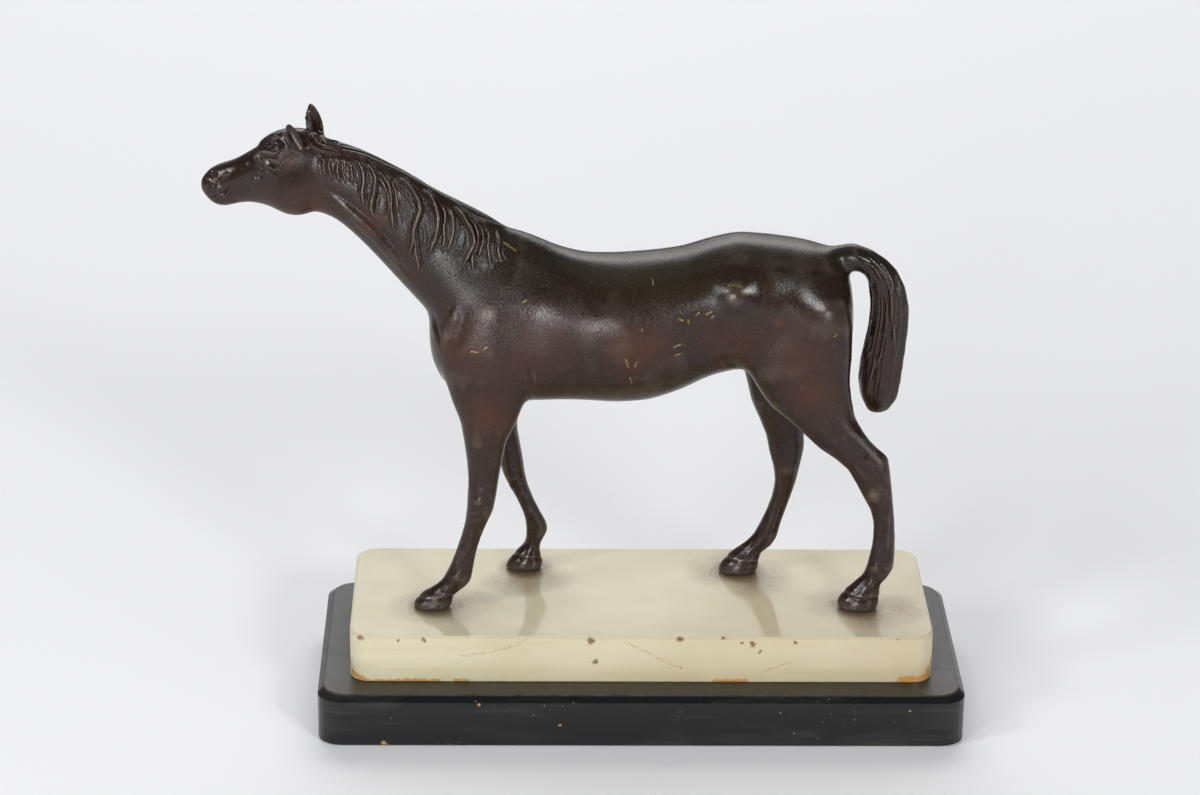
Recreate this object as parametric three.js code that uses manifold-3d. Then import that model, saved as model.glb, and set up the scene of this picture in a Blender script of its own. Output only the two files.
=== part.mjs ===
// A small bronze horse, cast in one piece, walking on an onyx slab that stands on a black stone base.
// Units are millimetres. +Z is up, the horse looks along -X, and the origin is the middle of the
// base's underside.
import * as THREE from "three";
import { mergeVertices } from "three/addons/utils/BufferGeometryUtils.js";
import Module from "manifold-3d";

const wasm = await Module();
wasm.setup();

// Driving dimensions.
const BASE = { length: 200, depth: 82, height: 17, corner: 7, topBevel: 2, bottomBevel: 0.5 };
const SLAB = { length: 180.5, depth: 64, height: 15.5, corner: 6, topBevel: 0.7, bottomBevel: 0.3 };
const SLAB_TOP = BASE.height + SLAB.height;
const SLAB_SETBACK = 1.2; // behind the middle of the base
const HORSE_SETBACK = 3.5;
const HEAD_TURN = 12; // degrees that the head is turned to the far side
// Each hoof's middle, out from the horse's own middle.
const STANCE = { nearFore: 13.2, farFore: 15, nearHind: 13.1, farHind: 12.8 };

// How finely each form is drawn.
const RINGS_PER_STEP = 2;
const CORNER_STEPS = 3;
const TRUNK_SIDES = 24;
const NECK_SIDES = 20;
const HEAD_SIDES = 18;
const FORELOCK_SIDES = 10;
const LEG_SIDES = 12;
const TAIL_SIDES = 18;
const EAR_SIDES = 8;
const LOCK_SIDES = 6;

const BRONZE = { color: 0x3a2a22, roughness: 0.38, metalness: 0.85 };
const ONYX = { color: 0xd8d0b4, roughness: 0.3, metalness: 0 };
const BLACK_STONE = { color: 0x1b1b1c, roughness: 0.25, metalness: 0 };

const radians = THREE.MathUtils.degToRad;
const mix = THREE.MathUtils.lerp;
const signedPower = (value, power) => Math.sign(value) * Math.abs(value) ** power;

// A station gives one section of a form. front and back are its two ends in the side view, [x, z],
// with z above the slab. wide is its half width, out its distance from the horse's middle (near side
// negative), turn the degrees that it is swung to the far side, and egg above 0 makes it wider at the
// front end.
function stationCurves(stations) {
  const points = (point) => stations.map((s) => new THREE.Vector3(...point(s)));
  const curve = (point) => new THREE.CatmullRomCurve3(points(point), false, "centripetal");
  const plain = (point) => new THREE.CatmullRomCurve3(points(point), false, "catmullrom", 0.5);
  return {
    front: curve((s) => [s.front[0], s.out ?? 0, s.front[1]]),
    back: curve((s) => [s.back[0], s.out ?? 0, s.back[1]]),
    shape: plain((s) => [s.wide, s.egg ?? 0, s.turn ?? 0]),
  };
}

// The middle, the half height and the sideways half width of the section at t, from 0 to 1.
function sectionAt(curves, t) {
  const front = curves.front.getPoint(t);
  const back = curves.back.getPoint(t);
  const [wide, egg, turn] = curves.shape.getPoint(t).toArray();
  const angle = radians(turn);
  const half = front.clone().sub(back).multiplyScalar(0.5);
  half.y = -half.x * Math.tan(angle);
  return {
    middle: front.clone().add(back).multiplyScalar(0.5),
    half,
    side: new THREE.Vector3(Math.sin(angle), Math.cos(angle), 0).multiplyScalar(wide),
    egg,
  };
}

// A point on a section's outline: at angle 0 its front end, at 90 degrees its far side, at -90 its near side.
function pointOn(section, angle, square = 1) {
  const along = signedPower(Math.cos(angle), square);
  const across = signedPower(Math.sin(angle), square) * (1 + section.egg * Math.cos(angle));
  return section.middle
    .clone()
    .addScaledVector(section.half, along)
    .addScaledVector(section.side, across);
}

// Sections that shrink to a round end of that length, beyond a section.
function roundEnd(section, outward, length, steps) {
  const rings = [];
  for (let k = 1; k < steps; k++) {
    const angle = (Math.PI / 2) * (k / steps);
    rings.push({
      middle: section.middle.clone().addScaledVector(outward, length * Math.sin(angle)),
      half: section.half.clone().multiplyScalar(Math.cos(angle)),
      side: section.side.clone().multiplyScalar(Math.cos(angle)),
      egg: section.egg,
    });
  }
  return { rings, tip: section.middle.clone().addScaledVector(outward, length) };
}

// Joins rings of points, and a tip point at each end, into one closed surface.
function skin(rings, startTip, endTip) {
  const sides = rings[0].length;
  const points = [startTip, ...rings.flat(), endTip];
  const last = points.length - 1;
  const at = (ring, side) => 1 + ring * sides + (side % sides);
  const faces = [];
  for (let k = 0; k < sides; k++) {
    faces.push(0, at(0, k + 1), at(0, k));
    faces.push(last, at(rings.length - 1, k), at(rings.length - 1, k + 1));
    for (let r = 0; r + 1 < rings.length; r++) {
      faces.push(at(r, k), at(r, k + 1), at(r + 1, k));
      faces.push(at(r + 1, k), at(r, k + 1), at(r + 1, k + 1));
    }
  }
  return new THREE.BufferGeometry()
    .setAttribute("position", new THREE.Float32BufferAttribute(points.flatMap((p) => p.toArray()), 3))
    .setIndex(faces);
}

// A closed form through its stations. startRound and endRound are the lengths of its round ends, 0 for
// a flat end, and flute(angle, t) may scale the outline, as for strands of hair.
function loft(stations, { sides, square = 1, startRound = 0, endRound = 0, steps = RINGS_PER_STEP, flute }) {
  const curves = stationCurves(stations);
  const count = (stations.length - 1) * steps;
  const sections = Array.from({ length: count + 1 }, (_, k) => sectionAt(curves, k / count));
  const outward = (a, b) => a.middle.clone().sub(b.middle).normalize();
  const start = roundEnd(sections[0], outward(sections[0], sections[1]), startRound, startRound ? 4 : 1);
  const last = sections[count];
  const end = roundEnd(last, outward(last, sections[count - 1]), endRound, endRound ? 4 : 1);
  const all = [...start.rings.reverse(), ...sections, ...end.rings];
  const rings = all.map((section, k) => {
    const t = THREE.MathUtils.clamp((k - start.rings.length) / count, 0, 1);
    return Array.from({ length: sides }, (_, j) => {
      const angle = (2 * Math.PI * j) / sides;
      const point = pointOn(section, angle, square);
      return flute ? section.middle.clone().lerp(point, flute(angle, t)) : point;
    });
  });
  return skin(rings, start.tip, end.tip);
}

// three.js geometry to a solid and back.
function solidFrom(geometry) {
  const bare = geometry.clone();
  bare.deleteAttribute("normal");
  bare.deleteAttribute("uv");
  const merged = mergeVertices(bare, 1e-4);
  const make = (triVerts) =>
    new wasm.Manifold(
      new wasm.Mesh({ numProp: 3, vertProperties: merged.attributes.position.array, triVerts }),
    );
  const faces = new Uint32Array(merged.index.array);
  const solid = make(faces);
  return solid.volume() >= 0 ? solid : make(faces.reverse());
}

function geometryFrom(solid) {
  const mesh = solid.getMesh();
  const points = new Float32Array(mesh.numVert * 3);
  for (let k = 0; k < mesh.numVert; k++) {
    points.set(mesh.vertProperties.subarray(k * mesh.numProp, k * mesh.numProp + 3), k * 3);
  }
  return new THREE.BufferGeometry()
    .setAttribute("position", new THREE.BufferAttribute(points, 3))
    .setIndex(new THREE.BufferAttribute(mesh.triVerts, 1));
}

const trunkStations = [
  { at: "breast", front: [-65.3, 96], back: [-64.2, 77.5], wide: 7.5 },
  { at: "point of shoulder", front: [-61.5, 104.5], back: [-61.5, 71.5], wide: 12 },
  { at: "chest", front: [-55, 112], back: [-55, 68.6], wide: 14.4 },
  { at: "shoulder", front: [-48, 118.5], back: [-48, 67.8], wide: 15.2, egg: -0.2 },
  { at: "withers", front: [-40, 121.3], back: [-40, 66.2], wide: 15.5, egg: -0.3 },
  { at: "girth", front: [-33, 118.5], back: [-33, 65.9], wide: 15.8, egg: -0.25 },
  { at: "saddle", front: [-26, 115.3], back: [-26, 66.4], wide: 16.4, egg: -0.18 },
  { at: "back", front: [-18, 113.1], back: [-18, 66.3], wide: 17.3, egg: -0.1 },
  { at: "deepest barrel", front: [-8, 112.8], back: [-8, 65.5], wide: 18 },
  { at: "barrel", front: [2, 113.6], back: [2, 66.4], wide: 18.2 },
  { at: "loin", front: [11, 114.9], back: [11, 69.6], wide: 17.6 },
  { at: "flank", front: [20, 117.9], back: [20, 74.2], wide: 16.8 },
  { at: "point of hip", front: [28, 119.8], back: [28, 76.4], wide: 16.8 },
  { at: "croup", front: [38, 119], back: [37, 76.4], wide: 17.4 },
  { at: "rump", front: [48, 117.6], back: [46, 77], wide: 16.6 },
  { at: "dock", front: [56.3, 115.4], back: [55.5, 80], wide: 13.4 },
  { at: "buttock", front: [60.8, 110], back: [62.2, 82], wide: 9.5 },
];

const neckStations = [
  { at: "under the poll", front: [-99, 150.4], back: [-102.2, 126.4], wide: 5.2, out: 0.6, turn: 8 },
  { at: "throat", front: [-94, 149], back: [-98, 125.9], wide: 5.5, out: 0.4, turn: 6, egg: -0.1 },
  { at: "upper neck", front: [-88.8, 147.3], back: [-93.7, 124], wide: 5.8, out: 0.2, turn: 3, egg: -0.2 },
  { at: "crest", front: [-81.9, 144.2], back: [-88.7, 119.8], wide: 6.2, egg: -0.25 },
  { at: "middle", front: [-73.5, 139.6], back: [-83.5, 114.4], wide: 6.8, egg: -0.25 },
  { at: "lower crest", front: [-65, 134.4], back: [-77.8, 107.9], wide: 7.7, egg: -0.25 },
  { at: "lower neck", front: [-56, 129.8], back: [-72.4, 101.7], wide: 9.2, egg: -0.3 },
  { at: "neck root", front: [-47, 125], back: [-67.5, 96.1], wide: 11, egg: -0.35 },
  { at: "in the shoulder", front: [-38, 119], back: [-61, 86], wide: 12.8, egg: -0.35 },
];

const headStations = [
  { at: "muzzle", front: [-133.8, 135.2], back: [-133.4, 129.8], wide: 3.3, out: 7.4 },
  { at: "nostril", front: [-132.4, 137.1], back: [-132, 127.9], wide: 4.1, out: 7.1 },
  { at: "lips", front: [-130.2, 138.7], back: [-130, 126.4], wide: 4.4, out: 6.6 },
  { at: "chin", front: [-127.4, 140], back: [-127.4, 126.1], wide: 4.4, out: 6.1 },
  { at: "nose bone", front: [-124.3, 141.2], back: [-124.3, 127], wide: 4.4, out: 5.5 },
  { at: "mid face", front: [-120.8, 143.4], back: [-120.8, 127.8], wide: 5, out: 4.8, egg: 0.05 },
  { at: "below the eye", front: [-117.2, 145.8], back: [-117.2, 127.8], wide: 5.9, out: 4, egg: 0.12 },
  { at: "eye", front: [-113.1, 148.4], back: [-113.1, 126.9], wide: 6.7, out: 3.1, egg: 0.12 },
  { at: "cheek", front: [-109, 150.3], back: [-109, 125.1], wide: 6.9, out: 2.3, egg: 0.05 },
  { at: "jowl", front: [-105, 151.2], back: [-105, 124.7], wide: 6.5, out: 1.5 },
  { at: "poll", front: [-101, 151], back: [-101, 125.9], wide: 5.8, out: 0.9 },
  { at: "nape", front: [-97, 149.8], back: [-98, 128], wide: 4.8, out: 0.5 },
].map((s) => ({ turn: HEAD_TURN, ...s }));

const forelockStations = [
  { at: "poll", front: [-99, 151.6], back: [-99, 148], wide: 2.6, out: 0.8 },
  { at: "between the ears", front: [-104, 152.3], back: [-104, 148], wide: 3.2, out: 1.4 },
  { at: "brow", front: [-109, 151.8], back: [-109, 147], wide: 3.4, out: 2.4 },
  { at: "forehead", front: [-113.4, 149.9], back: [-113, 145.5], wide: 2.8, out: 3.2 },
  { at: "tip", front: [-117, 147.2], back: [-116.5, 145.2], wide: 1.2, out: 3.9 },
];

const nearForeStations = [
  { at: "shoulder blade", front: [-50, 113], back: [-41, 111], wide: 3, out: 5 },
  { at: "shoulder", front: [-56, 102], back: [-35.5, 99], wide: 6.4, out: 8.2 },
  { at: "point of shoulder", front: [-61.2, 90], back: [-32.5, 86], wide: 7.6, out: 9 },
  { at: "elbow", front: [-62, 78.5], back: [-32, 76], wide: 7.2, out: 9.6 },
  { at: "upper arm", front: [-59.2, 69], back: [-35.8, 69], wide: 6.2, out: 10.2 },
  { at: "forearm", front: [-56.4, 62.5], back: [-38.9, 62], wide: 5.4, out: 10.8 },
  { at: "mid forearm", front: [-55.3, 56.5], back: [-41.9, 56], wide: 4.9, out: 11.3 },
  { at: "lower forearm", front: [-54.4, 50], back: [-43.2, 49.5], wide: 4.4, out: 11.7 },
  { at: "above the knee", front: [-53.9, 43.9], back: [-44.3, 43.5], wide: 4, out: 12 },
  { at: "knee", front: [-54.1, 38.2], back: [-45.1, 38], wide: 4.1, out: 12.3 },
  { at: "below the knee", front: [-54.4, 33.2], back: [-46, 33.2], wide: 3.9, out: 12.6 },
  { at: "upper cannon", front: [-54.9, 28.9], back: [-48.1, 28.6], wide: 3.1, out: 12.8 },
  { at: "cannon", front: [-56.1, 24.3], back: [-49.9, 24], wide: 2.7, out: 12.9 },
  { at: "lower cannon", front: [-57.7, 19.3], back: [-51.3, 19], wide: 2.7, out: 13 },
  { at: "above the fetlock", front: [-59.5, 14.4], back: [-52.2, 14], wide: 3, out: 13.1 },
  { at: "fetlock", front: [-61.4, 10.4], back: [-52.9, 9.5], wide: 3.3, turn: 4 },
  { at: "ergot", front: [-63, 8.2], back: [-54.8, 7.2], wide: 3.2, turn: 4 },
  { at: "pastern", front: [-65.4, 6.4], back: [-57.2, 5.7], wide: 3.2, turn: 4 },
  { at: "coronet", front: [-68.2, 4.6], back: [-58.5, 3.9], wide: 3.9, turn: 4 },
  { at: "hoof wall", front: [-70.7, 1.8], back: [-58.9, 1.7], wide: 4.6, turn: 4 },
  { at: "sole", front: [-71.4, 0], back: [-59.3, 0], wide: 4.7, turn: 4 },
];

const farForeStations = [
  { at: "shoulder blade", front: [-50, 113], back: [-41, 111], wide: 3, out: 5 },
  { at: "shoulder", front: [-56, 102], back: [-35.5, 99], wide: 6.4, out: 8.2 },
  { at: "point of shoulder", front: [-61, 90], back: [-32, 86], wide: 7.6, out: 9 },
  { at: "elbow", front: [-58.5, 77.5], back: [-31, 75], wide: 7.2, out: 9.8 },
  { at: "upper arm", front: [-52.6, 67], back: [-34.3, 66.5], wide: 6.2, out: 10.8 },
  { at: "forearm", front: [-48.8, 59], back: [-37.7, 58.5], wide: 5.4, out: 11.8 },
  { at: "mid forearm", front: [-46.6, 51.5], back: [-38.8, 51], wide: 4.7, out: 12.6 },
  { at: "above the knee", front: [-45.2, 44.5], back: [-37.9, 44.8], wide: 4.1, out: 13.2 },
  { at: "knee", front: [-44.6, 38.6], back: [-36.9, 39], wide: 4, out: 13.7 },
  { at: "below the knee", front: [-43.2, 33.4], back: [-36.3, 34], wide: 3.8, out: 14 },
  { at: "upper cannon", front: [-41.1, 29], back: [-35.3, 29.4], wide: 3.1, out: 14.2 },
  { at: "cannon", front: [-38.8, 24.6], back: [-33.3, 24.2], wide: 2.7, out: 14.4 },
  { at: "lower cannon", front: [-37, 20.2], back: [-31.1, 19.4], wide: 2.8, out: 14.6 },
  { at: "above the fetlock", front: [-36.1, 16.8], back: [-29.3, 16], wide: 3 },
  { at: "fetlock", front: [-35.9, 13.6], back: [-28.9, 13.6], wide: 3.1 },
  { at: "ergot", front: [-35.9, 11], back: [-30.3, 10.8], wide: 3 },
  { at: "pastern", front: [-36.4, 8.8], back: [-31.4, 8.6], wide: 3 },
  { at: "coronet", front: [-38.8, 6], back: [-31.4, 5.6], wide: 3.7 },
  { at: "hoof wall", front: [-41.7, 2.4], back: [-30.4, 2.6], wide: 4.4 },
  { at: "sole", front: [-42.7, 0], back: [-30.8, 0], wide: 4.5 },
];

const nearHindStations = [
  { at: "hip", front: [34, 108], back: [55, 110], wide: 4.6, out: 7.6 },
  { at: "thigh", front: [31, 98], back: [61.4, 103], wide: 7.9, out: 8.3 },
  { at: "buttock", front: [28.5, 88], back: [63.5, 94], wide: 9.1, out: 8.9 },
  { at: "stifle", front: [30.3, 80], back: [63.6, 84], wide: 8.8, out: 9.3 },
  { at: "lower thigh", front: [34.4, 73.5], back: [63.2, 75.5], wide: 7.6, out: 9.8 },
  { at: "gaskin", front: [38.2, 68.3], back: [64, 69.5], wide: 6.4, out: 10.5 },
  { at: "upper gaskin", front: [43.7, 63.9], back: [65.2, 64], wide: 5.5, out: 11.2 },
  { at: "mid gaskin", front: [49, 59.1], back: [67.8, 59.5], wide: 4.8, out: 11.7 },
  { at: "lower gaskin", front: [54, 54.3], back: [70.1, 56.4], wide: 4.3, out: 12.1 },
  { at: "above the hock", front: [59, 50.9], back: [72.7, 53.8], wide: 3.9, out: 12.4 },
  { at: "hock point", front: [63.2, 47.1], back: [75.7, 51.4], wide: 3.6, out: 12.6 },
  { at: "hock", front: [66.1, 42.1], back: [76.6, 45.8], wide: 3.7, out: 12.7 },
  { at: "lower hock", front: [68.6, 37.4], back: [77.3, 40.2], wide: 3.6, out: 12.8 },
  { at: "below the hock", front: [70.8, 33.5], back: [77.9, 35], wide: 3.1, out: 12.9 },
  { at: "cannon", front: [71.9, 28.7], back: [78.5, 29.5], wide: 2.7, out: 13 },
  { at: "mid cannon", front: [71.9, 23.8], back: [78.9, 24], wide: 2.6 },
  { at: "lower cannon", front: [71.2, 18.9], back: [79, 18.7], wide: 2.8 },
  { at: "fetlock", front: [70.3, 14.2], back: [78.8, 14], wide: 3.2, turn: 4 },
  { at: "ergot", front: [69, 11], back: [76.9, 10.7], wide: 3.2, turn: 4 },
  { at: "pastern", front: [66.8, 8.9], back: [74.9, 8.6], wide: 3.2, turn: 4 },
  { at: "coronet", front: [63.8, 5.7], back: [74.7, 5], wide: 4.1, turn: 4 },
  { at: "hoof wall", front: [61.5, 2.6], back: [74.6, 2], wide: 4.9, turn: 4 },
  { at: "sole", front: [61.7, 0], back: [74.1, 0], wide: 5, turn: 4 },
];

const farHindStations = [
  { at: "hip", front: [34, 108], back: [55, 110], wide: 4.6, out: 7.6 },
  { at: "thigh", front: [31, 98], back: [60.8, 102], wide: 7.9, out: 8.3 },
  { at: "buttock", front: [28, 88], back: [62.5, 92], wide: 9.1, out: 8.9 },
  { at: "stifle", front: [28.8, 79], back: [60.5, 80], wide: 8.6, out: 9.3 },
  { at: "lower thigh", front: [32.1, 69], back: [57.5, 71], wide: 7.2, out: 9.9 },
  { at: "gaskin", front: [34.2, 60.6], back: [54.5, 62.5], wide: 5.9, out: 10.6 },
  { at: "mid gaskin", front: [37.2, 53.6], back: [52.3, 55.5], wide: 4.9, out: 11.2 },
  { at: "lower gaskin", front: [39.4, 48], back: [51.4, 49], wide: 4.2, out: 11.7 },
  { at: "hock point", front: [40.4, 42.6], back: [51.8, 44.2], wide: 3.7, out: 12 },
  { at: "hock", front: [42, 37.2], back: [50.6, 38], wide: 3.7, out: 12.1 },
  { at: "below the hock", front: [42.7, 32.3], back: [49.5, 32.2], wide: 3.1, out: 12.3 },
  { at: "cannon", front: [42, 27.2], back: [48, 27], wide: 2.7, out: 12.4 },
  { at: "mid cannon", front: [40.4, 22], back: [46.5, 22], wide: 2.6, out: 12.5 },
  { at: "lower cannon", front: [38.4, 17.2], back: [45, 17], wide: 2.8, out: 12.6 },
  { at: "fetlock", front: [36.4, 12.9], back: [44.1, 12.6], wide: 3.2 },
  { at: "ergot", front: [34, 10.2], back: [42.3, 9.4], wide: 3.1 },
  { at: "pastern", front: [31.3, 8.2], back: [39.4, 7.2], wide: 3.1 },
  { at: "coronet", front: [28.8, 6], back: [38.5, 5], wide: 4 },
  { at: "hoof wall", front: [25.8, 2.2], back: [38.4, 2], wide: 4.7 },
  { at: "sole", front: [25.3, 0], back: [37.8, 0], wide: 4.8 },
];

const tailStations = [
  { at: "in the croup", front: [50, 114.2], back: [54, 105], wide: 3.2 },
  { at: "root", front: [58, 116.6], back: [60.2, 107.2], wide: 3.8 },
  { at: "arch", front: [63.6, 116.9], back: [64.6, 107.8], wide: 4.3 },
  { at: "bend", front: [69, 114.9], back: [66.8, 106.9], wide: 4.7 },
  { at: "below the bend", front: [73.6, 112], back: [67.9, 105], wide: 4.9 },
  { at: "upper switch", front: [77.2, 108.4], back: [68.5, 102.8], wide: 5 },
  { at: "switch", front: [80.1, 102.7], back: [68.9, 99.3], wide: 5.2 },
  { at: "fullest", front: [81.6, 96], back: [68.9, 94.9], wide: 5.4 },
  { at: "middle", front: [81.6, 89.4], back: [68.5, 89.6], wide: 5.4 },
  { at: "lower switch", front: [81.2, 83.2], back: [67.3, 83.6], wide: 5.2 },
  { at: "thinning", front: [80.7, 77.3], back: [66.2, 77.5], wide: 5 },
  { at: "above the end", front: [80.2, 71.3], back: [65.9, 71.8], wide: 4.7 },
  { at: "end", front: [79.3, 66], back: [66.9, 66.2], wide: 4 },
  { at: "cut", front: [77.4, 63.4], back: [68.8, 62.9], wide: 3.2 },
];

const farSide = (stations, stance) => stations.map((s) => ({ ...s, out: s.out ?? stance }));
const nearSide = (stations, stance) => stations.map((s) => ({ ...s, out: -(s.out ?? stance) }));

// The hair of the tail: grooves that run down it, deeper towards the end.
const tailFlute = (angle, t) => 1 - 0.1 * mix(0.25, 1, t) * (1 - Math.cos(6 * angle + 2.5 * t));

function leg(stations) {
  return loft(stations, { sides: LEG_SIDES, square: 0.9, steps: 1 });
}

const EARS = [
  { base: [-105.8, -1.6, 146.5], tip: [-107.8, -6.2, 156.6], wide: 2.8, deep: 1.7, facing: [-1, -1, 0] },
  { base: [-98.9, 3.4, 147.3], tip: [-101.3, 6, 158.8], wide: 3.2, deep: 1.8, facing: [-1, -1, 0] },
];

// An ear: a narrow leaf with a hollow front, from its base to its tip.
function ear({ base, tip, wide, deep, facing }) {
  const root = new THREE.Vector3(...base);
  const up = new THREE.Vector3(...tip).sub(root);
  const across = new THREE.Vector3(...facing).cross(up).normalize();
  const ahead = up.clone().cross(across).normalize();
  const outline = [0.72, 0.95, 1, 0.92, 0.72, 0.42];
  const rings = outline.map((share, k) => {
    const middle = root.clone().addScaledVector(up, k / outline.length);
    return Array.from({ length: EAR_SIDES }, (_, j) => {
      const angle = (2 * Math.PI * j) / EAR_SIDES;
      const forward = Math.cos(angle) > 0.5 ? -0.15 : Math.cos(angle);
      return middle
        .clone()
        .addScaledVector(across, share * wide * Math.sin(angle))
        .addScaledVector(ahead, share * deep * forward);
    });
  });
  return skin(rings, root, root.clone().add(up));
}

// Eyes and nostrils are set out from the middle of the head at some height, and sized along, across and up.
const EYE = { x: -113.9, out: 3.5, z: 143.1, apart: 5.7, size: [2.4, 1.1, 1.4], tilt: -20 };
const BROW = { x: -114.6, out: 3.6, z: 144.8, apart: 5, size: [3.2, 1.1, 0.9], tilt: 8 };
const NOSTRIL = { x: -131.9, out: 7, z: 135.1, apart: 4.3, size: [1.5, 0.9, 0.9], tilt: -35 };

function eggs({ x, out, z, apart, size, tilt }) {
  const turn = radians(HEAD_TURN);
  return [-1, 1].map((side) =>
    new THREE.SphereGeometry(1, 8, 6)
      .scale(...size)
      .rotateY(-radians(tilt))
      .rotateZ(-turn)
      .translate(x + side * apart * Math.sin(turn), out + side * apart * Math.cos(turn), z),
  );
}

// The mane falls on the near side of the neck. Its locks leave a roll of hair along the crest, swing
// back and then hook forward. shortest is a lock behind the ear, longest one half way down the neck.
const MANE = {
  locks: 17,
  from: -97,
  to: -45.5,
  below: 3,
  shortest: 8,
  longest: 25,
  sweep: 5.2,
  hook: 3,
};
const LOCK = { rings: 5, wide: 1.75, thick: 0.95 };
const ROLL = { from: 0.02, to: 0.94, rings: 14, sides: 8, high: 2.3, wide: 3 };

// The point of the neck's near side that shows at x, z, and the direction straight out of the neck there.
function nearSideOfNeck(curves, x, z) {
  let [low, high] = [0, 1];
  for (let k = 0; k < 24; k++) {
    const t = (low + high) / 2;
    const { middle, half } = sectionAt(curves, t);
    const ahead = (x - middle.x) * half.z - (z - middle.z) * half.x > 0;
    [low, high] = ahead ? [t, high] : [low, t];
  }
  const section = sectionAt(curves, low);
  const along = new THREE.Vector3(x - section.middle.x, 0, z - section.middle.z).dot(section.half);
  const share = THREE.MathUtils.clamp(along / section.half.lengthSq(), -0.98, 0.98);
  const point = pointOn(section, -Math.acos(share));
  const lean = section.half.clone().setLength(0.6 * share);
  return { point, outwards: new THREE.Vector3(0, -1, 0).add(lean).normalize() };
}

function crestHeight(curves, x) {
  const crest = curves.front.getPoints(60);
  const next = crest.findIndex((p) => p.x > x);
  return crest[Math.max(next, 0)].z;
}

function maneLock(curves, { x, length, sweep, hook, size }) {
  const top = crestHeight(curves, x) - MANE.below;
  const path = (s) =>
    nearSideOfNeck(curves, x + sweep * Math.sin(2.3 * s) - hook * s * s, top - length * s);
  const STEP = 0.03;
  const rings = [];
  for (let k = 0; k <= LOCK.rings; k++) {
    const s = k / LOCK.rings;
    const { point, outwards } = path(s);
    const along = path(s + STEP).point.sub(path(s - STEP).point).normalize();
    const across = along.clone().cross(outwards).normalize();
    const taper = size * Math.sin(Math.PI * mix(0.2, 0.95, s)) ** 0.7;
    rings.push(
      Array.from({ length: LOCK_SIDES }, (_, j) => {
        const angle = (2 * Math.PI * j) / LOCK_SIDES;
        return point
          .clone()
          .addScaledVector(across, LOCK.wide * taper * Math.cos(angle))
          .addScaledVector(outwards, LOCK.thick * taper * Math.sin(angle));
      }),
    );
  }
  return skin(rings, path(-STEP).point, path(1 + STEP).point);
}

function maneLocks(curves) {
  return Array.from({ length: MANE.locks }, (_, k) => {
    const share = k / (MANE.locks - 1);
    const fullness = Math.sin(Math.PI * share ** 0.85) ** 1.2;
    return maneLock(curves, {
      x: mix(MANE.from, MANE.to, share),
      length: mix(MANE.shortest, MANE.longest, fullness) + 1.5 * Math.sin(2.4 * k),
      sweep: MANE.sweep * mix(0.25, 1, fullness),
      hook: MANE.hook * mix(0, 1, fullness),
      size: mix(0.75, 1.1, fullness) + 0.12 * Math.cos(3 * k),
    });
  });
}

// The roll of hair that the mane grows from.
function maneRoll(curves) {
  const rings = Array.from({ length: ROLL.rings + 1 }, (_, k) => {
    const section = sectionAt(curves, mix(ROLL.from, ROLL.to, k / ROLL.rings));
    const up = section.half.clone().normalize();
    const middle = section.middle.clone().add(section.half).addScaledVector(up, 0.35 - ROLL.high);
    const swell = Math.sin(Math.PI * mix(0.12, 0.9, k / ROLL.rings)) ** 0.5;
    return Array.from({ length: ROLL.sides }, (_, j) => {
      const angle = (2 * Math.PI * j) / ROLL.sides;
      return middle
        .clone()
        .addScaledVector(up, ROLL.high * Math.cos(angle))
        .add(new THREE.Vector3(0, ROLL.wide * swell * Math.sin(angle), 0));
    });
  });
  const middleOf = (ring) =>
    ring.reduce((sum, p) => sum.add(p), new THREE.Vector3()).divideScalar(ring.length);
  return skin(rings, middleOf(rings[0]), middleOf(rings[ROLL.rings]));
}

// Muscles and hollows: each moves the skin straight out, or in where high is below 0, fading over its reach.
const SWELLS = [
  { at: [26, -15, 103], reach: 8, high: 0.8 },
  { at: [21, -17, 90], reach: 10, high: -0.8 },
  { at: [50, -16, 97], reach: 10, high: 0.7 },
  { at: [38, -17, 84], reach: 9, high: 0.5 },
  { at: [-61, -9, 90], reach: 5, high: 0.8 },
  { at: [-63, -5, 88], reach: 3.5, high: -0.9 },
  { at: [-40, -16, 80], reach: 8, high: 0.6 },
  { at: [-33, -16, 92], reach: 8, high: -0.5 },
  { at: [-12, -17, 92], reach: 14, high: 0.5 },
];

function swell(geometry) {
  geometry.computeVertexNormals();
  const { position, normal } = geometry.attributes;
  const point = new THREE.Vector3();
  const out = new THREE.Vector3();
  for (let k = 0; k < position.count; k++) {
    point.fromBufferAttribute(position, k);
    out.fromBufferAttribute(normal, k);
    let move = 0;
    for (const { at, reach, high } of SWELLS) {
      const away = Math.min(
        point.distanceTo(new THREE.Vector3(...at)),
        point.distanceTo(new THREE.Vector3(at[0], -at[1], at[2])),
      );
      move += away < reach ? high * (0.5 + 0.5 * Math.cos((Math.PI * away) / reach)) : 0;
    }
    point.addScaledVector(out, move);
    position.setXYZ(k, point.x, point.y, point.z);
  }
  geometry.deleteAttribute("normal");
  return geometry;
}

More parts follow.
